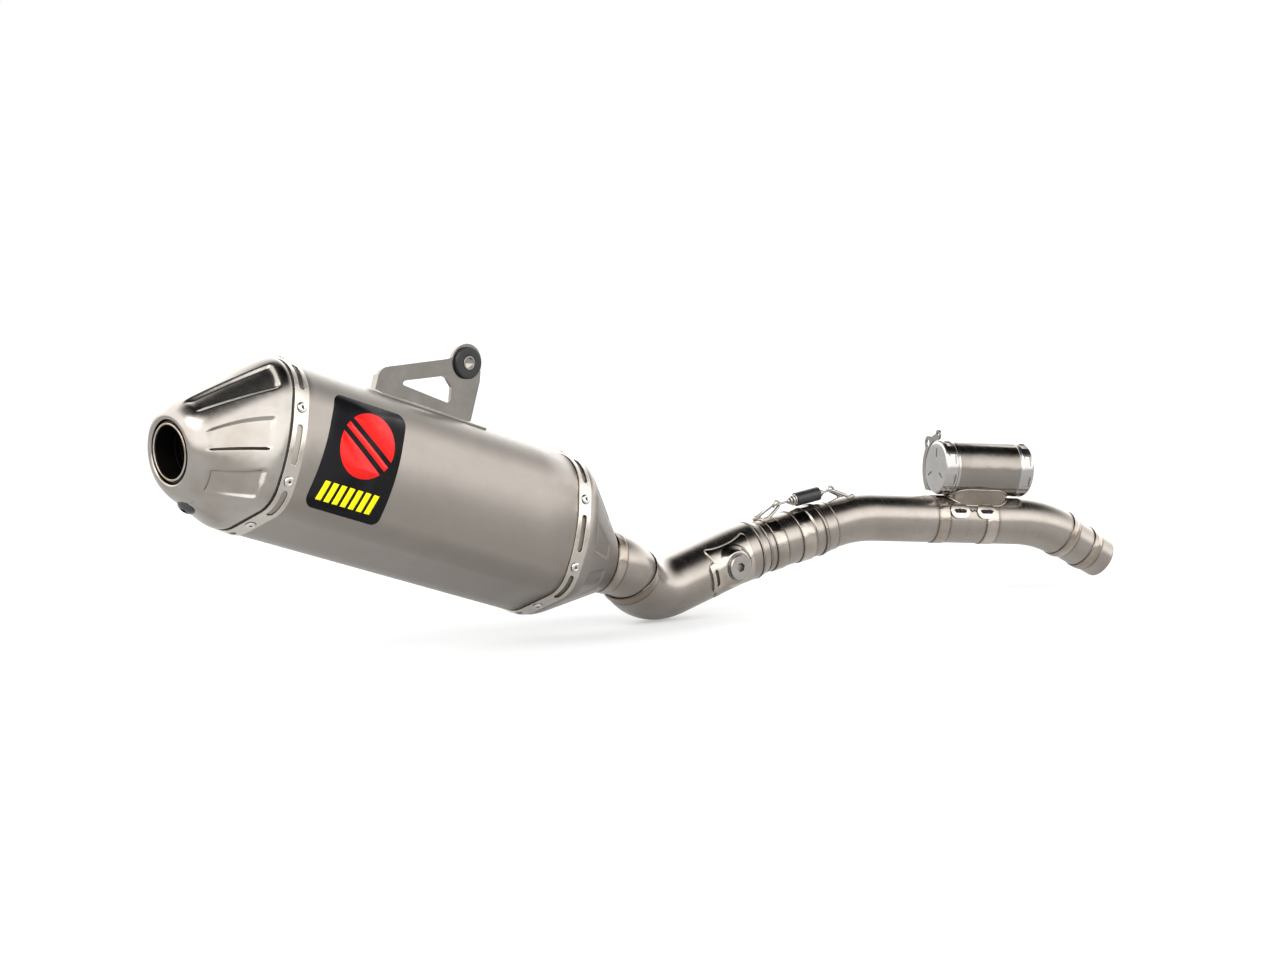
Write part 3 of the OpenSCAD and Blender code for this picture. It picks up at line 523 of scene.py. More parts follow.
def cap_shell(seam_t, edge_t, mouth, mouth_x, mouth_r, face, panels, count, bend_at):
    """Cap drawn from the oval seam over a rounded shoulder to a round mouth, in mm."""
    side, fraction = around(count)
    across, up, angle = section(fraction)
    blend = np.radians(0.6 * angle + 0.4 * (90 - 180 * fraction))

    def oval_at(t, grow=0.0):
        a, z, _ = section(fraction, grow)
        return moved(np.stack([np.full(count, t), side * a, z], 1), BODY)

    def mouth_at(x, r):
        return moved(np.stack([np.full(count, x), side * r * np.cos(blend), r * np.sin(blend)], 1), mouth)

    T, S, L = oval_at(seam_t), oval_at(edge_t), mouth_at(mouth_x, mouth_r)
    ruling = L - S
    tangent_w = np.roll(S, -1, 0) - np.roll(S, 1, 0) + np.roll(L, -1, 0) - np.roll(L, 1, 0)
    normal = np.cross(tangent_w, ruling)
    normal /= np.linalg.norm(normal, axis=1)[:, None]
    centre = (S.mean(0) + L.mean(0)) / 2
    normal *= np.where(np.einsum("ij,ij->i", normal, (S + L) / 2 - centre) < 0, -1, 1)[:, None]
    length = float(np.linalg.norm(ruling, axis=1).mean())
    rings = [T, T + (S - T) * 0.2]
    start, end = 0.15, bend_at

    def dip(u):
        d = pressed(np.full(count, u), fraction, panels, length)
        return normal * d[:, None]

    for t in np.linspace(0.02, 1, 13):
        u = start * t * t
        rings.append(bezier(T + (S - T) * 0.4, S, S + ruling * start, t) - dip(u) * hump(t * 1.6))
    for u in np.linspace(start, end, 62)[1:]:
        rings.append(S + ruling * u - dip(u))
    first_face = mouth_at(*face[0])
    for t in np.linspace(0, 1, 17)[1:]:
        u = end + (1 - end) * t
        rings.append(bezier(S + ruling * end, L, first_face, t) - dip(u) * (1 - t))
    for x, r in face[1:]:
        rings.append(mouth_at(x, r))
    inner = oval_at(edge_t, -CAP_WALL - 1.9)
    rings.append(inner + (mouth_at(*face[-1]) - inner) * 0.06)
    rings.append(oval_at(seam_t, -CAP_WALL - 1.2))
    return skin(rings)


WORLD = np.eye(4)
GASKET_SEEN = 1.0
points, faces = cap_shell(-GASKET_SEEN, -GASKET_T - SHOULDER, OUTLET, -OUTLET_REACH + 1.6, 32.6,
                          ((-61.95, 26.2), (-62.0, 25.4), (-61.9, 24.5), (-61.5, 23.8), (-60.7, 23.4),
                           (-57.6, 23.4), (-57.5, 24.6)), REAR_PANELS, 480, 0.8)
build("rear_cap_pressing", points, faces, WORLD, M["cap"], "muffler", ["rear_cap"])
FRONT_T = SLEEVE_LEN + GASKET_T
points, faces = cap_shell(SLEEVE_LEN + GASKET_SEEN, FRONT_T + SHOULDER, leg(0), 0.0, LINK_R + 1.0,
                          ((0.0, 26.0), (0.0, 25.2), (-0.6, 24.3), (-2.0, 24.2)), FRONT_PANELS, 400, 0.9)
build("front_cap_pressing", points, faces, WORLD, M["sleeve"], "muffler", ["front_cap"])

stations = (0.0, 0.15, 20, 60, 100, 150, 200, 250, SLEEVE_LEN - 0.15, SLEEVE_LEN)
rings = [oval_ring(400, t, -0.12 if t in (stations[0], stations[-1]) else 0.0) for t in stations]
rings += [oval_ring(400, t, -SLEEVE_WALL) for t in stations[::-1]]
points, faces = skin(rings)
build("sleeve_rolled", points, faces, BODY, M["sleeve"], "muffler", ["outer_sleeve"])

for name, a, b, node in (("rear_gasket_ring", -GASKET_SEEN, 0.0, "rear_seam_gasket"),
                         ("front_gasket_ring", SLEEVE_LEN, SLEEVE_LEN + GASKET_SEEN, "front_seam_gasket")):
    rings = [oval_ring(400, t, g) for t, g in ((a, -1.2), (a, 0.0), ((a + b) / 2, 0.12), (b, 0.0), (b, -1.2))]
    points, faces = skin(rings)
    build(name, points, faces, BODY, M["gasket"], "muffler", [node])

# ---------------------------------------------------------------- badge foils
SIDE_UP = HALF[::-1, 1]
SIDE_S = HALF_S[::-1] / HALF_LEN


def foil_sheet(name, loops, height, material, cuts=(), keep=None, replaces=()):
    """Foil with outlines in (station, height) on the sleeve's right side, wrapped round it."""
    bm = bmesh.new()
    for loop in loops:
        bm.faces.new([bm.verts.new((t, 0, z)) for t, z in loop])
    for co, no in cuts:
        bmesh.ops.bisect_plane(bm, geom=bm.verts[:] + bm.edges[:] + bm.faces[:], plane_co=co, plane_no=no)
    if keep:
        gone = [f for f in bm.faces if not keep(f.calc_center_median())]
        bmesh.ops.delete(bm, geom=gone, context="FACES")
    for z in np.arange(-40, 56, 1.6):
        bmesh.ops.bisect_plane(bm, geom=bm.verts[:] + bm.edges[:] + bm.faces[:],
                               plane_co=(0, 0, float(z)), plane_no=(0, 0, 1))
    bm.verts.index_update()
    flat = np.array([v.co[:] for v in bm.verts])
    outline = [[v.index for v in f.verts] for f in bm.faces]
    bm.free()
    fraction = np.interp(flat[:, 2], SIDE_UP, SIDE_S)
    across, up, _ = section(fraction, height)
    top = np.stack([flat[:, 0], -across, up], 1)
    obj = build(name, top, outline, BODY, material, "muffler", replaces)
    thick = obj.modifiers.new("thickness", "SOLIDIFY")
    thick.thickness, thick.offset = 0.0001, 0
    return obj


def rounded(corners, radius, steps=8):
    out = []
    n = len(corners)
    for i in range(n):
        p, a, b = (np.array(corners[k], float) for k in (i, i - 1, (i + 1) % n))
        da, db = unit(a - p), unit(b - p)
        half = math.acos(float(np.clip(da @ db, -1, 1))) / 2
        cut = radius / math.tan(half)
        centre = p + unit(da + db) * radius / math.sin(half)
        v0, v1 = p + da * cut - centre, p + db * cut - centre
        turn = math.acos(float(np.clip(unit(v0) @ unit(v1), -1, 1)))
        for k in range(steps + 1):
            t = k / steps
            w = (v0 * math.sin((1 - t) * turn) + v1 * math.sin(t * turn)) / math.sin(turn)
            out.append(tuple(centre + w))
    return out


LEAN = 12.3 / 72
badge_corners = ((25.0, -36.0), (94.2, -36.0), (106.2, 50.0), (38.3, 50.0))
foil_sheet("badge_foil", [rounded(badge_corners, 7)], 0.3, M["badge"], replaces=["side_badge"])
cx, cz, cr = 70.0, 18.5, 25.0
disc = [(cx + cr * math.cos(t) + cr * math.sin(t) * LEAN, cz + cr * math.sin(t))
        for t in np.linspace(0, 2 * math.pi, 72, endpoint=False)]
slant = unit((0.55, 0, 0.835))


def off_stripe(c):
    d = (c.x - cx) * slant[0] + (c.z - cz) * slant[2]
    return not (2.5 < abs(d) < 7.0)


stripe_cuts = [((cx + slant[0] * d, 0, cz + slant[2] * d), tuple(slant)) for d in (-7.0, -2.5, 2.5, 7.0)]
foil_sheet("badge_round_mark", [disc], 0.38, M["red"], stripe_cuts, off_stripe)
bars = []
for k in range(7):
    t0 = 33.5 + 7.6 * k
    bars.append([(t0, -29.5), (t0 + 4.9, -29.5), (t0 + 4.9 + 4.6, -14.5), (t0 + 4.6, -14.5)])
foil_sheet("badge_bar_row", bars, 0.38, M["yellow"])


# ---------------------------------------------------------------- pipes
def run_path(parts, step=1.5):
    """Centre line through ("leg", i, from, to) and ("bend", i) parts."""
    out = []
    for part in parts:
        i = part[1]
        if part[0] == "leg":
            n = max(2, math.ceil((part[3] - part[2]) / step))
            out += [RUN[i] + leg_run(i) * (part[2] + (part[3] - part[2]) * k / n) for k in range(n)]
            last = RUN[i] + leg_run(i) * part[3]
        else:
            before, after = leg_run(i - 1), leg_run(i)
            inward = np.cross(unit(np.cross(before, after)), before)
            turn = math.acos(float(before @ after))
            centre = RUN[i] - before * tangent(i) + inward * BEND_R[i]
            n = math.ceil(BEND_R[i] * turn / step)
            arc = [centre + BEND_R[i] * (-inward * math.cos(turn * k / n) + before * math.sin(turn * k / n))
                   for k in range(n + 1)]
            out += arc[:-1]
            last = arc[-1]
    return np.array(out + [last])


def warmth(s, welds, reach=8.0):
    """Heat and edge values at stations s from the weld stations."""
    s = np.asarray(s, float)
    heat = np.zeros(len(s))
    edge = np.zeros(len(s))
    for w in welds:
        d = np.abs(s - w)
        heat = np.maximum(heat, 0.62 * np.exp(-d / reach) + 0.38 * np.exp(-(d / 2.2) ** 2))
        edge = np.maximum(edge, 0.75 * np.exp(-(d / 0.9) ** 2))
    return heat, edge


def pipe(name, parts, r, welds, body, replaces, count=96):
    path = run_path(parts)
    s = np.r_[0, np.cumsum(np.linalg.norm(np.diff(path, axis=0), axis=1))]
    frames = carried(path)
    t = np.linspace(0, 2 * math.pi, count, endpoint=False)
    rings = []
    for radius, order in ((r, 1), (r - PIPE_WALL, -1)):
        wall = [p + radius * (np.outer(np.cos(t), a) + np.outer(np.sin(t), b))
                for p, (_, a, b) in zip(path, frames)]
        rings += wall[::order]
    points, faces = skin(rings)
    heat, edge = warmth(s, welds(float(s[-1])))
    both = lambda v: np.repeat(np.r_[v, v[::-1]], count)
    return build(name, points, faces, WORLD, M["pipe"], body, replaces,
                 {"heat": both(heat), "edge": both(edge)})


def lathe(name, m, profile, body, replaces, material, welds=(), count=128, reach=8.0,
          ripple=0.0, waves=0):
    """Turned piece about X with a finely stepped outline and heat values."""
    fine = []
    for (x0, r0), (x1, r1) in zip(profile, list(profile[1:]) + [profile[0]]):
        n = max(1, math.ceil(abs(x1 - x0) / 1.2))
        fine += [(x0 + (x1 - x0) * k / n, r0 + (r1 - r0) * k / n) for k in range(n)]
    points, faces = turned(fine, count)
    x = np.array([p[0] for p in fine])
    if ripple:
        grid = points.reshape(len(fine), count, 3)
        t = np.linspace(0, 2 * math.pi, count, endpoint=False)
        lo, hi = x.min(), x.max()
        outer = np.array([r for _, r in fine]) > np.mean([r for _, r in fine]) - 0.2
        near = np.exp(-np.minimum(x - lo, hi - x) / 1.6) * outer
        wave = 0.5 + 0.5 * np.cos(waves * t + 1.2 * np.sin(3 * t))
        cut = 1 - ripple * near[:, None] * wave[None, :] / np.array([r for _, r in fine])[:, None]
        grid[:, :, 1:] *= cut[:, :, None]
        points = grid.reshape(-1, 3)
    heat, edge = warmth(x, welds, reach)
    return build(name, points, faces, m, material, body, replaces,
                 {"heat": np.repeat(heat, count), "edge": np.repeat(edge, count)})


def ring_bead(name, m, rings, body, wide=0.75):
    """Rippled weld beads: rings is a list of (station, radius)."""
    parts = []
    for x, r in rings:
        n = int(2 * math.pi * r / 0.42)
        t = np.linspace(0, 2 * math.pi, n, endpoint=False)
        path = np.stack([x + 0.12 * np.sin(7 * t), r * np.cos(t), r * np.sin(t)], 1)
        waves = int(2 * math.pi * r / 1.9)
        parts.append(wire(path, wide * (0.86 + 0.14 * np.cos(waves * t)), 8, closed=True))
    points, faces = joined(parts)
    tint = 0.45 + 0.3 * np.sin(points[:, 1] * 0.23 + points[:, 2] * 0.31)
    return build(name, points, faces, m, M["bead"], body, (),
                 {"heat": tint, "edge": np.full(len(points), 0.25)})


def weld_band(name, m, a, b, r, proud, body, replaces, waves=60):
    top = r + 0.15 + proud
    profile = ((a, r + 0.15), (a, r + 0.3), (a + 0.2, top - 0.3 * proud), (a + 0.7, top), ((a + b) / 2, top),
               (b - 0.7, top), (b - 0.2, top - 0.3 * proud), (b, r + 0.3), (b, r + 0.15))
    lathe(name, m, profile, body, replaces, M["weld"], (a, b), 240, 2.4, 0.16, waves)


elbow_end = tangent(1) + 1.6
pipe("elbow_bent", (("leg", 0, 0.1, leg_length(0) - tangent(1)), ("bend", 1),
                    ("leg", 1, tangent(1), elbow_end)), LINK_R,
     lambda end: (9.9, end - 4.5), "muffler", ["elbow_tube"])
pipe("link_pipe_bent", (("leg", 1, elbow_end, leg_length(1) - tangent(2)), ("bend", 2),
                        ("leg", 2, tangent(2), leg_length(2) - tangent(3)), ("bend", 3)),
     LINK_R, lambda end: (4.4, end), "muffler", ["link_pipe"])
L3, L4, L5 = leg(3), leg(4), leg(5)
reducer_from, reducer_to = tangent(3) + 0.8, 24.0
neck_curve = [(reducer_from + (reducer_to - reducer_from) * t,
               LINK_R + (SLIP_R - LINK_R) * float(hump(t))) for t in np.linspace(0, 1, 9)]
lathe("link_reducer_spun", L3, neck_curve + [(x, r - PIPE_WALL) for x, r in neck_curve[::-1]], "muffler",
      ["link_reducer"], M["pipe"], (reducer_from, reducer_to), 112, 5.0)
lathe("slip_sleeve_tube", L3,
      ((24.05, SLIP_R), (70.6, SLIP_R), (71, SLIP_R - 0.4), (71, 21.62), (24.05, 21.62)), "muffler",
      ["slip_sleeve"], M["pipe"], (24.3, 30, 42, 57), 112, 4.0)
weld_band("inlet_collar_band", leg(0), 0.3, 10, LINK_R, 1.1, "muffler", ["inlet_collar"], 70)
weld_band("elbow_collar_band", leg(1), elbow_end - 4, elbow_end + 4, LINK_R, 1.0, "muffler",
          ["elbow_collar"], 70)
weld_band("hook_band_ring", L3, 30, 42, SLIP_R, 0.8, "muffler", ["hook_band"], 64)
weld_band("mouth_band_ring", L3, 57, 71, SLIP_R, 0.8, "muffler", ["mouth_band"], 64)
lathe("header_spigot_sized", L3,
      ((38, 20.15), (38, 21.3), (38.4, 21.55), (72, 21.55), (72.6, 22.2), (73.2, SLIP_R), (84, SLIP_R),
       (87, 22.6), (93, 21.8), (96, 21.6), (96, 19.8), (84, 20.15)), "header",
      ["header_spigot"], M["pipe"], (81, 84, 96), 112, 3.5)
weld_band("spigot_collar_ring", L3, 81, 84, SLIP_R, 0.8, "header", ["spigot_collar"], 64)


def header_welds(end):
    # stations from the spigot: the straight of leg 3, bend 4, leg 4 and bend 5
    first = leg_length(3) - tangent(4) - 96
    turn4 = math.acos(float(leg_run(3) @ leg_run(4)))
    on4 = first + BEND_R[4] * turn4 - tangent(4)
    return (0.0, on4 + 73.5, on4 + 85, on4 + 120.5, on4 + 133, end - 5.5)


pipe("header_tube_bent", (("leg", 3, 96, leg_length(3) - tangent(4)), ("bend", 4),
                          ("leg", 4, tangent(4), leg_length(4) - tangent(5)), ("bend", 5),
                          ("leg", 5, tangent(5), 28)), HEADER_R, header_welds, "header", ["header_tube"])
weld_band("header_rear_ring", L4, 73.5, 85, HEADER_R, 0.5, "header", ["header_rear_band"], 58)
weld_band("header_front_ring", L4, 120.5, 133, HEADER_R, 0.5, "header", ["header_front_band"], 58)
MID_R, PORT_R = 19.4, 18.5
lathe("port_middle_sleeve", L5,
      ((28.1, MID_R), (57, MID_R), (57, MID_R - PIPE_WALL), (28.1, MID_R - PIPE_WALL)), "header",
      ["port_middle_tube"], M["pipe"], (33, 51), 112, 5.0)
lathe("port_tube_end", L5,
      ((57.1, PORT_R - 0.5), (62.1, PORT_R - 0.5), (62.2, PORT_R), (76.7, PORT_R), (77, PORT_R - 0.3),
       (77, PORT_R - PIPE_WALL), (57.1, PORT_R - PIPE_WALL)), "header",
      ["port_tube"], M["pipe"], (62,), 112, 5.0)


def step_ring(name, a, joint, b, big, small, replaces):
    profile = ((a, big + 0.15), (a, big + 0.4), (a + 0.5, big + 0.7), (joint, big + 0.7),
               (joint + 0.8, big + 0.45),
               (b - 0.5, small + 0.9), (b, small + 0.5), (b, small + 0.15), (joint + 0.3, small + 0.15),
               (joint + 0.3, big + 0.15))
    lathe(name, L5, profile, "header", replaces, M["weld"], (a, b), 220, 1.6, 0.12, 56)


step_ring("upper_port_step", 22.5, 28, 33, HEADER_R, MID_R, ["upper_port_ring"])
step_ring("lower_port_step", 51, 57, 62, MID_R, PORT_R, ["lower_port_ring"])
ring_bead("link_reducer_bead", L3, ((reducer_from, LINK_R), (reducer_to, SLIP_R)), "muffler", 0.5)
ring_bead("header_spigot_bead", L3, ((96, HEADER_R + 0.45),), "header", 0.5)


def insert_with_bore_shade(name, profile, replaces):
    """Turned piece of the outlet insert, its bore painted near black behind the rim as painted shade."""
    fine = []
    for (x0, r0), (x1, r1) in zip(profile, list(profile[1:]) + [profile[0]]):
        n = max(1, math.ceil(abs(x1 - x0) / 0.6))
        fine += [(x0 + (x1 - x0) * k / n, r0 + (r1 - r0) * k / n) for k in range(n)]
    points, faces = turned(fine, 160)
    station, radius = np.array(fine).T
    # painted shade: inner surfaces more than 1.6 mm behind the rim are painted near black
    black = hump((station + 61.3) / 1.6) * (radius < 20.6)
    build(name, points, faces, OUTLET, M["insert"], "insert", replaces, {"bore_shade": np.repeat(black, 160)})


insert_with_bore_shade("insert_tube_turned", ((-61.5, 19.95), (-61.5, 20.9), (-61.1, 21.24), (-20, 21.24), (-20, 20.2),
                              (-44.5, 20.2), (-44.5, 19.64), (-61.2, 19.64)), ["insert_tube"])
insert_with_bore_shade("insert_cone_spun", ((-44, 20.18), (-40, 20.18), (-24, 13), (-14, 13), (-14, 11.8), (-24.4, 11.8),
                            (-40.4, 18.98), (-44, 18.98)), ["insert_cone"])


# ---------------------------------------------------------------- weld beads round fittings
def stadium_curve(length, width, height):
    straight, r = (length - width) / 2, width / 2
    out = []
    for x0, base in ((straight, -90), (-straight, 90)):
        for a in np.radians(np.linspace(base, base + 180, 40)):
            out.append((x0 + r * math.cos(a), r * math.sin(a)))
    path = []
    n = len(out)
    for i in range(n):
        a, b = np.array(out[i]), np.array(out[(i + 1) % n])
        k = max(1, int(np.linalg.norm(b - a) / 0.6))
        path += [a + (b - a) * j / k for j in range(k)]
    return np.array([(p[0], p[1], height(p[1])) for p in path])


def bead(name, m, path, r, body, pitch=1.9):
    s = np.r_[0, np.cumsum(np.linalg.norm(np.diff(path, axis=0), axis=1))]
    wobble = 0.84 + 0.16 * np.cos(2 * math.pi * s / pitch) + 0.06 * np.sin(s * 0.8)
    points, faces = wire(path, r * wobble, 10, closed=True)
    tint = 0.55 + 0.4 * np.sin(points[:, 0] * 0.35 + points[:, 1] * 0.2)
    return build(name, points, faces, m, M["bead"], body, (),
                 {"heat": tint, "edge": np.full(len(points), 0.2)})


bead("neck_top_bead", shifted(L4, (NECK_AT, 0, 0)),
     stadium_curve(59, 31, lambda y: CHAMBER_RISE - math.sqrt(CHAMBER_R ** 2 - y * y)), 1.1, "header")
bead("neck_foot_bead", shifted(L4, (NECK_AT, 0, 0)),
     stadium_curve(59, 31, lambda y: math.sqrt(HEADER_R ** 2 - y * y)), 1.2, "header")


# ---------------------------------------------------------------- formed patches on the pipes
def draped(name, m, outer, inner, top, low, material, body, replaces=(), steps=22, soft_in=False):
    """Formed patch between two loops of (x, y), its face at top(x, y) and its foot at low(x, y)."""
    rings = [(0.0, 0.0), (0.0, 0.4), (0.012, 0.8), (0.035, 1.0)]
    rings += [(float(t), 1.0) for t in np.linspace(0.07, 0.93, steps)]
    rings += [(0.965, 1.0), (0.988, 0.8), (1.0, 0.4), (1.0, 0.0)] if soft_in else [(1.0, 1.0), (1.0, 0.0)]
    shells = []
    for t, k in rings:
        p = outer * (1 - t) + inner * t
        z0, z1 = low(p[:, 0], p[:, 1]), top(p[:, 0], p[:, 1])
        shells.append(np.column_stack([p, z0 + (z1 - z0) * k]))
    points, faces = skin(shells)
    return build(name, points, faces, m, material, body, replaces)


def stadium_loop(length, width, count, centre=(0.0, 0.0), upright=False):
    path = stadium_curve(length, width, lambda y: 0.0)[:, :2]
    s = np.linspace(0, len(path), count, endpoint=False)
    full = np.vstack([path, path[:1]])
    p = np.column_stack([np.interp(s, np.arange(len(full)), full[:, k]) for k in (0, 1)])
    if upright:
        p = np.column_stack([-p[:, 1], p[:, 0]])
    return p + np.asarray(centre)


def over_pipe(r):
    return lambda x, y: np.sqrt(np.maximum(r * r - y * y, 0))


saddle_half, saddle_side, hollow = 23.6, 22.0, 2.6
corner_path = []
for quarter in range(4):
    c, d = ((1, 0), (0, 1), (-1, 0), (0, -1))[quarter]
    for w in np.linspace(-0.88, 0.88, 9):
        inset = hollow * (1 - w * w)
        corner_path.append((c * (saddle_half - inset) - d * saddle_half * w,
                            d * (saddle_side - inset) + c * saddle_side * w))
saddle_edge = smooth_path(corner_path, 8, closed=True)
bearing = np.arctan2(saddle_edge[:, 1], saddle_edge[:, 0])
bore_loop = np.column_stack([np.cos(bearing), np.sin(bearing)]) * 9.1


def dome(x, y):
    base = over_pipe(26.5)(x, y)
    return base + (28.5 - base) * (1 - hump((np.hypot(x, y) - 12.6) / 6.0))


draped("boss_dome", BOSS, saddle_edge, bore_loop, dome, over_pipe(25.2), M["weld_plain"], "muffler",
       ["boss_saddle", "sensor_boss"], 34)
bead("boss_dome_bead", BOSS, np.column_stack([saddle_edge, over_pipe(25.5)(*saddle_edge.T)]), 0.55,
     "muffler", 1.7)
# two slotted pads on the header's right side, with one dark seam through both
PAD_AT, PAD_Z = (94.0, 120.0), 9.5
header_side = frame_of(L4[:3, 3], L4[:3, 0], -L4[:3, 1])
for k, x in enumerate(PAD_AT):
    at = (x, PAD_Z)
    draped("neck_pad_%d" % k, header_side, stadium_loop(18.5, 13, 140, at), stadium_loop(11, 3, 140, at),
           over_pipe(22.8), over_pipe(21.0), M["weld_plain"], "header",
           ["chamber_weld_pads"] if k == 0 else (), 8, True)
    draped("neck_pad_slot_%d" % k, header_side, stadium_loop(11.4, 3.4, 140, at),
           stadium_loop(8.2, 0.3, 140, at), over_pipe(22.3), over_pipe(21.1), M["burnt"], "header",
           (), 3)
seam = np.linspace(85.5, 127.0, 150)
on_pad = np.exp(-((seam - PAD_AT[0]) / 6.5) ** 6) + np.exp(-((seam - PAD_AT[1]) / 6.5) ** 6)
seam_up = PAD_Z + 0.5 + 0.4 * np.sin(seam * 1.7) + 0.3 * np.sin(seam * 0.63)
seam_out = np.sqrt((21.3 + 1.55 * on_pad) ** 2 - seam_up ** 2)
points, faces = wire(np.column_stack([seam, seam_up, seam_out]),
                     0.5 + 0.55 * on_pad + 0.22 * np.cos(seam * 3.3), 10)
build("neck_seam", points, faces, header_side, M["burnt"], "header")
TAB = (-23.0, -2.0)  # centre of the slotted tab beside the boss
draped("boss_tab", BOSS, stadium_loop(27, 10, 120, TAB, True), stadium_loop(15, 3.2, 120, TAB, True),
       over_pipe(27.4), over_pipe(25.2), M["weld_plain"], "muffler", (), 8, True)
# painted shade: the slot's floor is a near-black sheet 0.5 mm under the tab's face
draped("boss_tab_slot_shade", BOSS, stadium_loop(15.4, 3.6, 120, TAB, True),
       stadium_loop(12.2, 0.3, 120, TAB, True), over_pipe(26.9), over_pipe(25.3), M["inner"],
       "muffler", (), 3)

# ---------------------------------------------------------------- spring and its loops
REAR_BAR, FRONT_BAR = np.array((50.0, 31.6)), np.array((106.5, 29.6))
REAR_FOOT = (34.0, math.sqrt((SLIP_R + 0.95 + 1.65) ** 2 - 64))
FRONT_FOOT = (119.0, math.sqrt((HEADER_R + 1.65) ** 2 - 64))


def bail(name, foot, top, back, body, replaces):
    (fx, fz), (tx, tz) = foot, top
    lean = unit((tx - fx, tz - fz))
    half = [(fx + back, -8.0, fz), (fx, -8.0, fz + 0.1), (fx + lean[0] * 5, -7.9, fz + lean[1] * 5),
            (tx - lean[0] * 6, -6.6, tz - lean[1] * 6), (tx - lean[0] * 1.7, -5.1, tz - lean[1] * 1.7),
            (tx - lean[0] * 0.2, -3.3, tz - lean[1] * 0.2), (tx, -1.1, tz)]
    full = half + [(x, -y, z) for x, y, z in half[::-1]]
    points, faces = wire(smooth_path(full, 12), 1.52, 16)
    build(name, points, faces, L3, M["spring"], body, replaces)
    blobs = []
    for y in (-8.0, 8.0):
        s = np.linspace(-1, 1, 15)
        path = np.stack([fx + back / 2 + s * 3.2, np.full(15, y), np.full(15, fz - 1.0)], 1)
        swell = np.sqrt(1.06 - s * s * 0.55) * (0.93 + 0.07 * np.cos(s * 12))
        blobs.append(wire(path, 1.7 * swell, 14))
    points, faces = joined(blobs)
    build(name + "_welds", points, faces, L3, M["bead"], body, (),
          {"heat": 0.5 + 0.4 * np.sin(points[:, 0] * 1.1), "edge": np.full(len(points), 0.15)})


bail("rear_bail", REAR_FOOT, REAR_BAR, -3, "muffler", ["rear_spring_loop"])
bail("front_bail", FRONT_FOOT, FRONT_BAR, 4, "header", ["front_spring_loop"])
along = FRONT_BAR - REAR_BAR
SPAN = float(np.linalg.norm(along))
SPRING = frame_of(moved([[REAR_BAR[0], 0, REAR_BAR[1]]], L3)[0],
                  L3[:3, :3] @ np.array([along[0], 0, along[1]]) / SPAN,
                  L3[:3, :3] @ np.array([-along[1], 0, along[0]]) / SPAN)
HOOK_R, COIL_R, PITCH, COIL_START, COIL_BACK = 3.3, 3.9, 2.2, 10.5, 7.0
turns = int((SPAN - COIL_START - COIL_BACK) / PITCH)


def hook_end(reach, mirror):
    arc = [(HOOK_R * math.cos(a), 0, HOOK_R * math.sin(a)) for a in np.radians(np.linspace(205, 0, 22))]
    shank = [(x, 0, 0) for x in np.linspace(HOOK_R + 0.4, reach - 1.6, 8)]
    pts = np.array(arc + shank)
    if mirror:
        pts[:, 0] = SPAN - pts[:, 0]
    return pts


coil = []
total = turns * 40
for k in range(total + 1):
    turn = k / 40
    r = min(COIL_R, 0.25 + 1.35 * min(turn, turns - turn))
    a = 2 * math.pi * turn
    x = COIL_START + turn * (SPAN - COIL_START - COIL_BACK) / turns
    coil.append((x, r * math.sin(a), r * math.cos(a)))
path = np.vstack([hook_end(COIL_START, False), coil, hook_end(COIL_BACK, True)[::-1]])
points, faces = wire(path, 0.98, 12)
build("joint_spring_wound", points, faces, SPRING, M["spring"], "spring", ["joint_spring"])

# ---------------------------------------------------------------- CAD nodes shown as they are
# finish of each node
DRESS = {
    "rear_clamp_band": "band", "front_clamp_band": "band", "rear_rivets": "steel",
    "front_rivets": "steel", "outlet_tube": "inner", "perforated_core": "inner",
    "inlet_tube": "inner", "glass_wool": "wool", "hanger_bracket": "bracket",
    "hanger_foot": "bracket", "hanger_grommet": "rubber", "hanger_bush": "bracket",
    "insert_screw_boss": "inner", "insert_screw": "screw", "sensor_plug": "spring",
    "plug_washer": "bracket", "spring_sleeve": "silicone",
    "chamber_neck": "neck", "chamber_shell": "chamber",
    "chamber_rear_cap": "chamber_cap", "chamber_front_cap": "chamber_cap", "chamber_lug_plate": "bracket"}
# bevel width of each node's edges, in mm
BEVEL = {
    "rear_clamp_band": 0.15, "front_clamp_band": 0.15, "rear_rivets": 0.12, "front_rivets": 0.12,
    "hanger_bracket": 0.45, "hanger_foot": 0.3, "hanger_grommet": 0.7, "hanger_bush": 0.3,
    "insert_screw": 0.3, "sensor_plug": 0.3, "plug_washer": 0.2, "spring_sleeve": 0.35,
    "chamber_neck": 0.3, "chamber_rear_cap": 0.22, "chamber_front_cap": 0.22,
    "chamber_lug_plate": 0.3}
for name, key in DRESS.items():
    obj = nodes[name]
    while len(obj.material_slots) < 1:
        obj.data.materials.append(M[key])
    for material_slot in obj.material_slots:
        material_slot.material = M[key]
    weld = obj.modifiers.new("weld", "WELD")
    weld.merge_threshold = 2e-6
    if name in BEVEL:
        bevel = obj.modifiers.new("edges", "BEVEL")
        bevel.width = BEVEL[name] * 0.001
        bevel.segments = 2
        bevel.limit_method = "ANGLE"
        bevel.angle_limit = math.radians(32)
        bevel.use_clamp_overlap = True
        normals = obj.modifiers.new("normals", "WEIGHTED_NORMAL")
        normals.weight = 50
        normals.keep_sharp = False

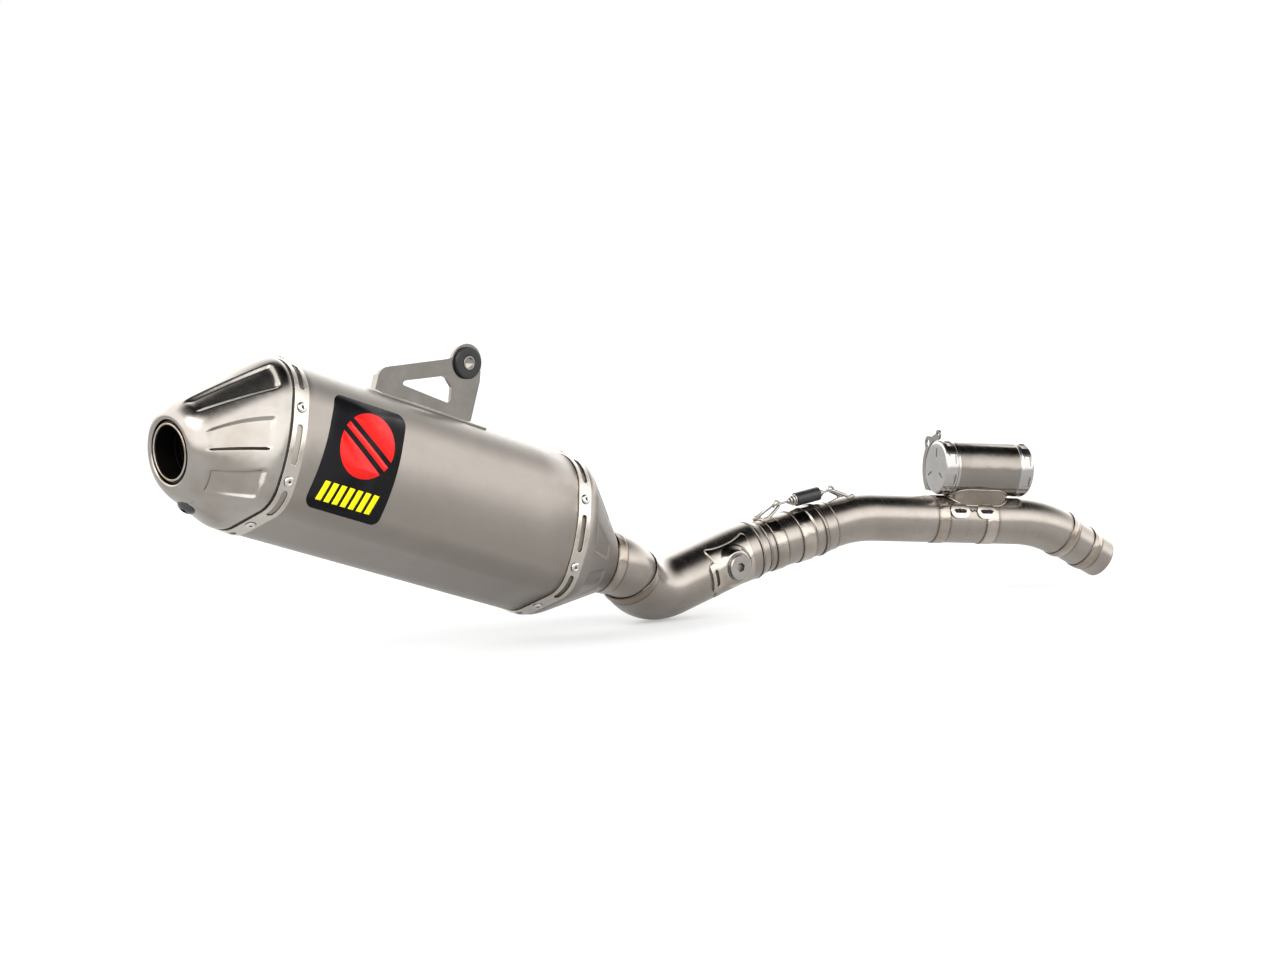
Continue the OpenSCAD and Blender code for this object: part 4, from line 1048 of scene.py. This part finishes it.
# ---------------------------------------------------------------- stage
low = min(c[2] for c in cad_box)
floor_mesh = bpy.data.meshes.new("floor")
floor_mesh.from_pydata([(x, y, low - 0.001) for x, y in ((-9, -9), (9, -9), (9, 9), (-9, 9))], [],
                       [(0, 1, 2, 3)])
floor = bpy.data.objects.new("floor", floor_mesh)
scene.collection.objects.link(floor)
paint = bpy.data.materials.new("floor_white")
paint.use_nodes = True
shader = paint.node_tree.nodes["Principled BSDF"]
shader.inputs["Base Color"].default_value = (0.56, 0.56, 0.56, 1)
shader.inputs["Roughness"].default_value = 0.9
shader.inputs["Specular IOR Level"].default_value = 0.0
shader.inputs["Emission Color"].default_value = (1, 1, 1, 1)
seen_floor = paint.node_tree.nodes.new("ShaderNodeLightPath").outputs["Is Camera Ray"]
lift = paint.node_tree.nodes.new("ShaderNodeMapRange")
lift.inputs["To Min"].default_value, lift.inputs["To Max"].default_value = 0.08, 0.31
paint.node_tree.links.new(seen_floor, lift.inputs["Value"])
paint.node_tree.links.new(lift.outputs["Result"], shader.inputs["Emission Strength"])
floor_mesh.materials.append(paint)

CAM = Vector((-1.3261, -1.6287, 0.0922))
LOOK = Vector((0.6775, 0.7303, -0.0872))
camera_data = bpy.data.cameras.new("camera")
camera_data.lens, camera_data.sensor_width = 75.94, 36.0
camera_data.clip_start, camera_data.clip_end = 0.05, 50
camera = bpy.data.objects.new("camera", camera_data)
camera.location = CAM
camera.rotation_euler = LOOK.to_track_quat("-Z", "Y").to_euler()
scene.collection.objects.link(camera)
scene.camera = camera


def softbox(name, at, aim, size, power, tall=None):
    data = bpy.data.lights.new(name, "AREA")
    data.shape = "RECTANGLE"
    data.size, data.size_y = size, tall or size
    data.energy = power
    obj = bpy.data.objects.new(name, data)
    obj.location = at
    obj.rotation_euler = (Vector(aim) - Vector(at)).to_track_quat("-Z", "Y").to_euler()
    scene.collection.objects.link(obj)
    return obj


softbox("key_softbox", (-1.9, -0.6, 2.2), (0.1, 0, -0.15), 1.6, 30, 1.0)

world = bpy.data.worlds.new("studio")
scene.world = world
world.use_nodes = True
wt = world.node_tree
background = wt.nodes["Background"]
wc = wt.nodes.new("ShaderNodeTexCoord")


def level_ramp(source, stops):
    ramp = wt.nodes.new("ShaderNodeValToRGB")
    while len(ramp.color_ramp.elements) < len(stops):
        ramp.color_ramp.elements.new(0.5)
    for e, (at, level) in zip(ramp.color_ramp.elements, stops):
        e.position = at
        e.color = (level,) * 3 + (1,)
    wt.links.new(source, ramp.inputs["Fac"])
    return ramp.outputs["Color"]


# an open dark ceiling ringed by soft boxes, falling off towards the horizon
CEILING = (0.40, -0.10, 0.90)
BOX_LEVEL = 3.0
overhead = wt.nodes.new("ShaderNodeVectorMath")
overhead.operation = "DOT_PRODUCT"
wt.links.new(wc.outputs["Generated"], overhead.inputs[0])
overhead.inputs[1].default_value = CEILING
split = wt.nodes.new("ShaderNodeSeparateXYZ")
wt.links.new(wc.outputs["Generated"], split.inputs[0])
boxes = level_ramp(overhead.outputs["Value"], (
    (0.0, 1.0), (0.55, 1.0), (0.65, 0.92), (0.72, 0.8), (0.79, 0.6), (0.84, 0.44), (0.9, 0.15), (0.94, 0.045),
    (0.975, 0.01), (1.0, 0.01)))
falloff = level_ramp(split.outputs["Z"], (
    (0.0, 0.28), (0.05, 0.4), (0.12, 0.68), (0.22, 1.0), (0.72, 1.0), (0.8, 0.6), (0.86, 0.12), (0.92, 0.03)))
studio_level = wt.nodes.new("ShaderNodeVectorMath")
studio_level.operation = "MULTIPLY"
wt.links.new(boxes, studio_level.inputs[0])
wt.links.new(falloff, studio_level.inputs[1])
lifted = wt.nodes.new("ShaderNodeVectorMath")
lifted.operation = "SCALE"
lifted.inputs["Scale"].default_value = BOX_LEVEL
wt.links.new(studio_level.outputs[0], lifted.inputs[0])
lightpath = wt.nodes.new("ShaderNodeLightPath")
seen = wt.nodes.new("ShaderNodeMix")
seen.data_type = "RGBA"
seen.inputs[7].default_value = (1, 1, 1, 1)
wt.links.new(lightpath.outputs["Is Camera Ray"], seen.inputs[0])
wt.links.new(lifted.outputs[0], seen.inputs[6])
wt.links.new(seen.outputs[2], background.inputs["Color"])

scene.view_settings.view_transform = "Standard"
scene.view_settings.look = "None"

bpy.context.view_layer.update()
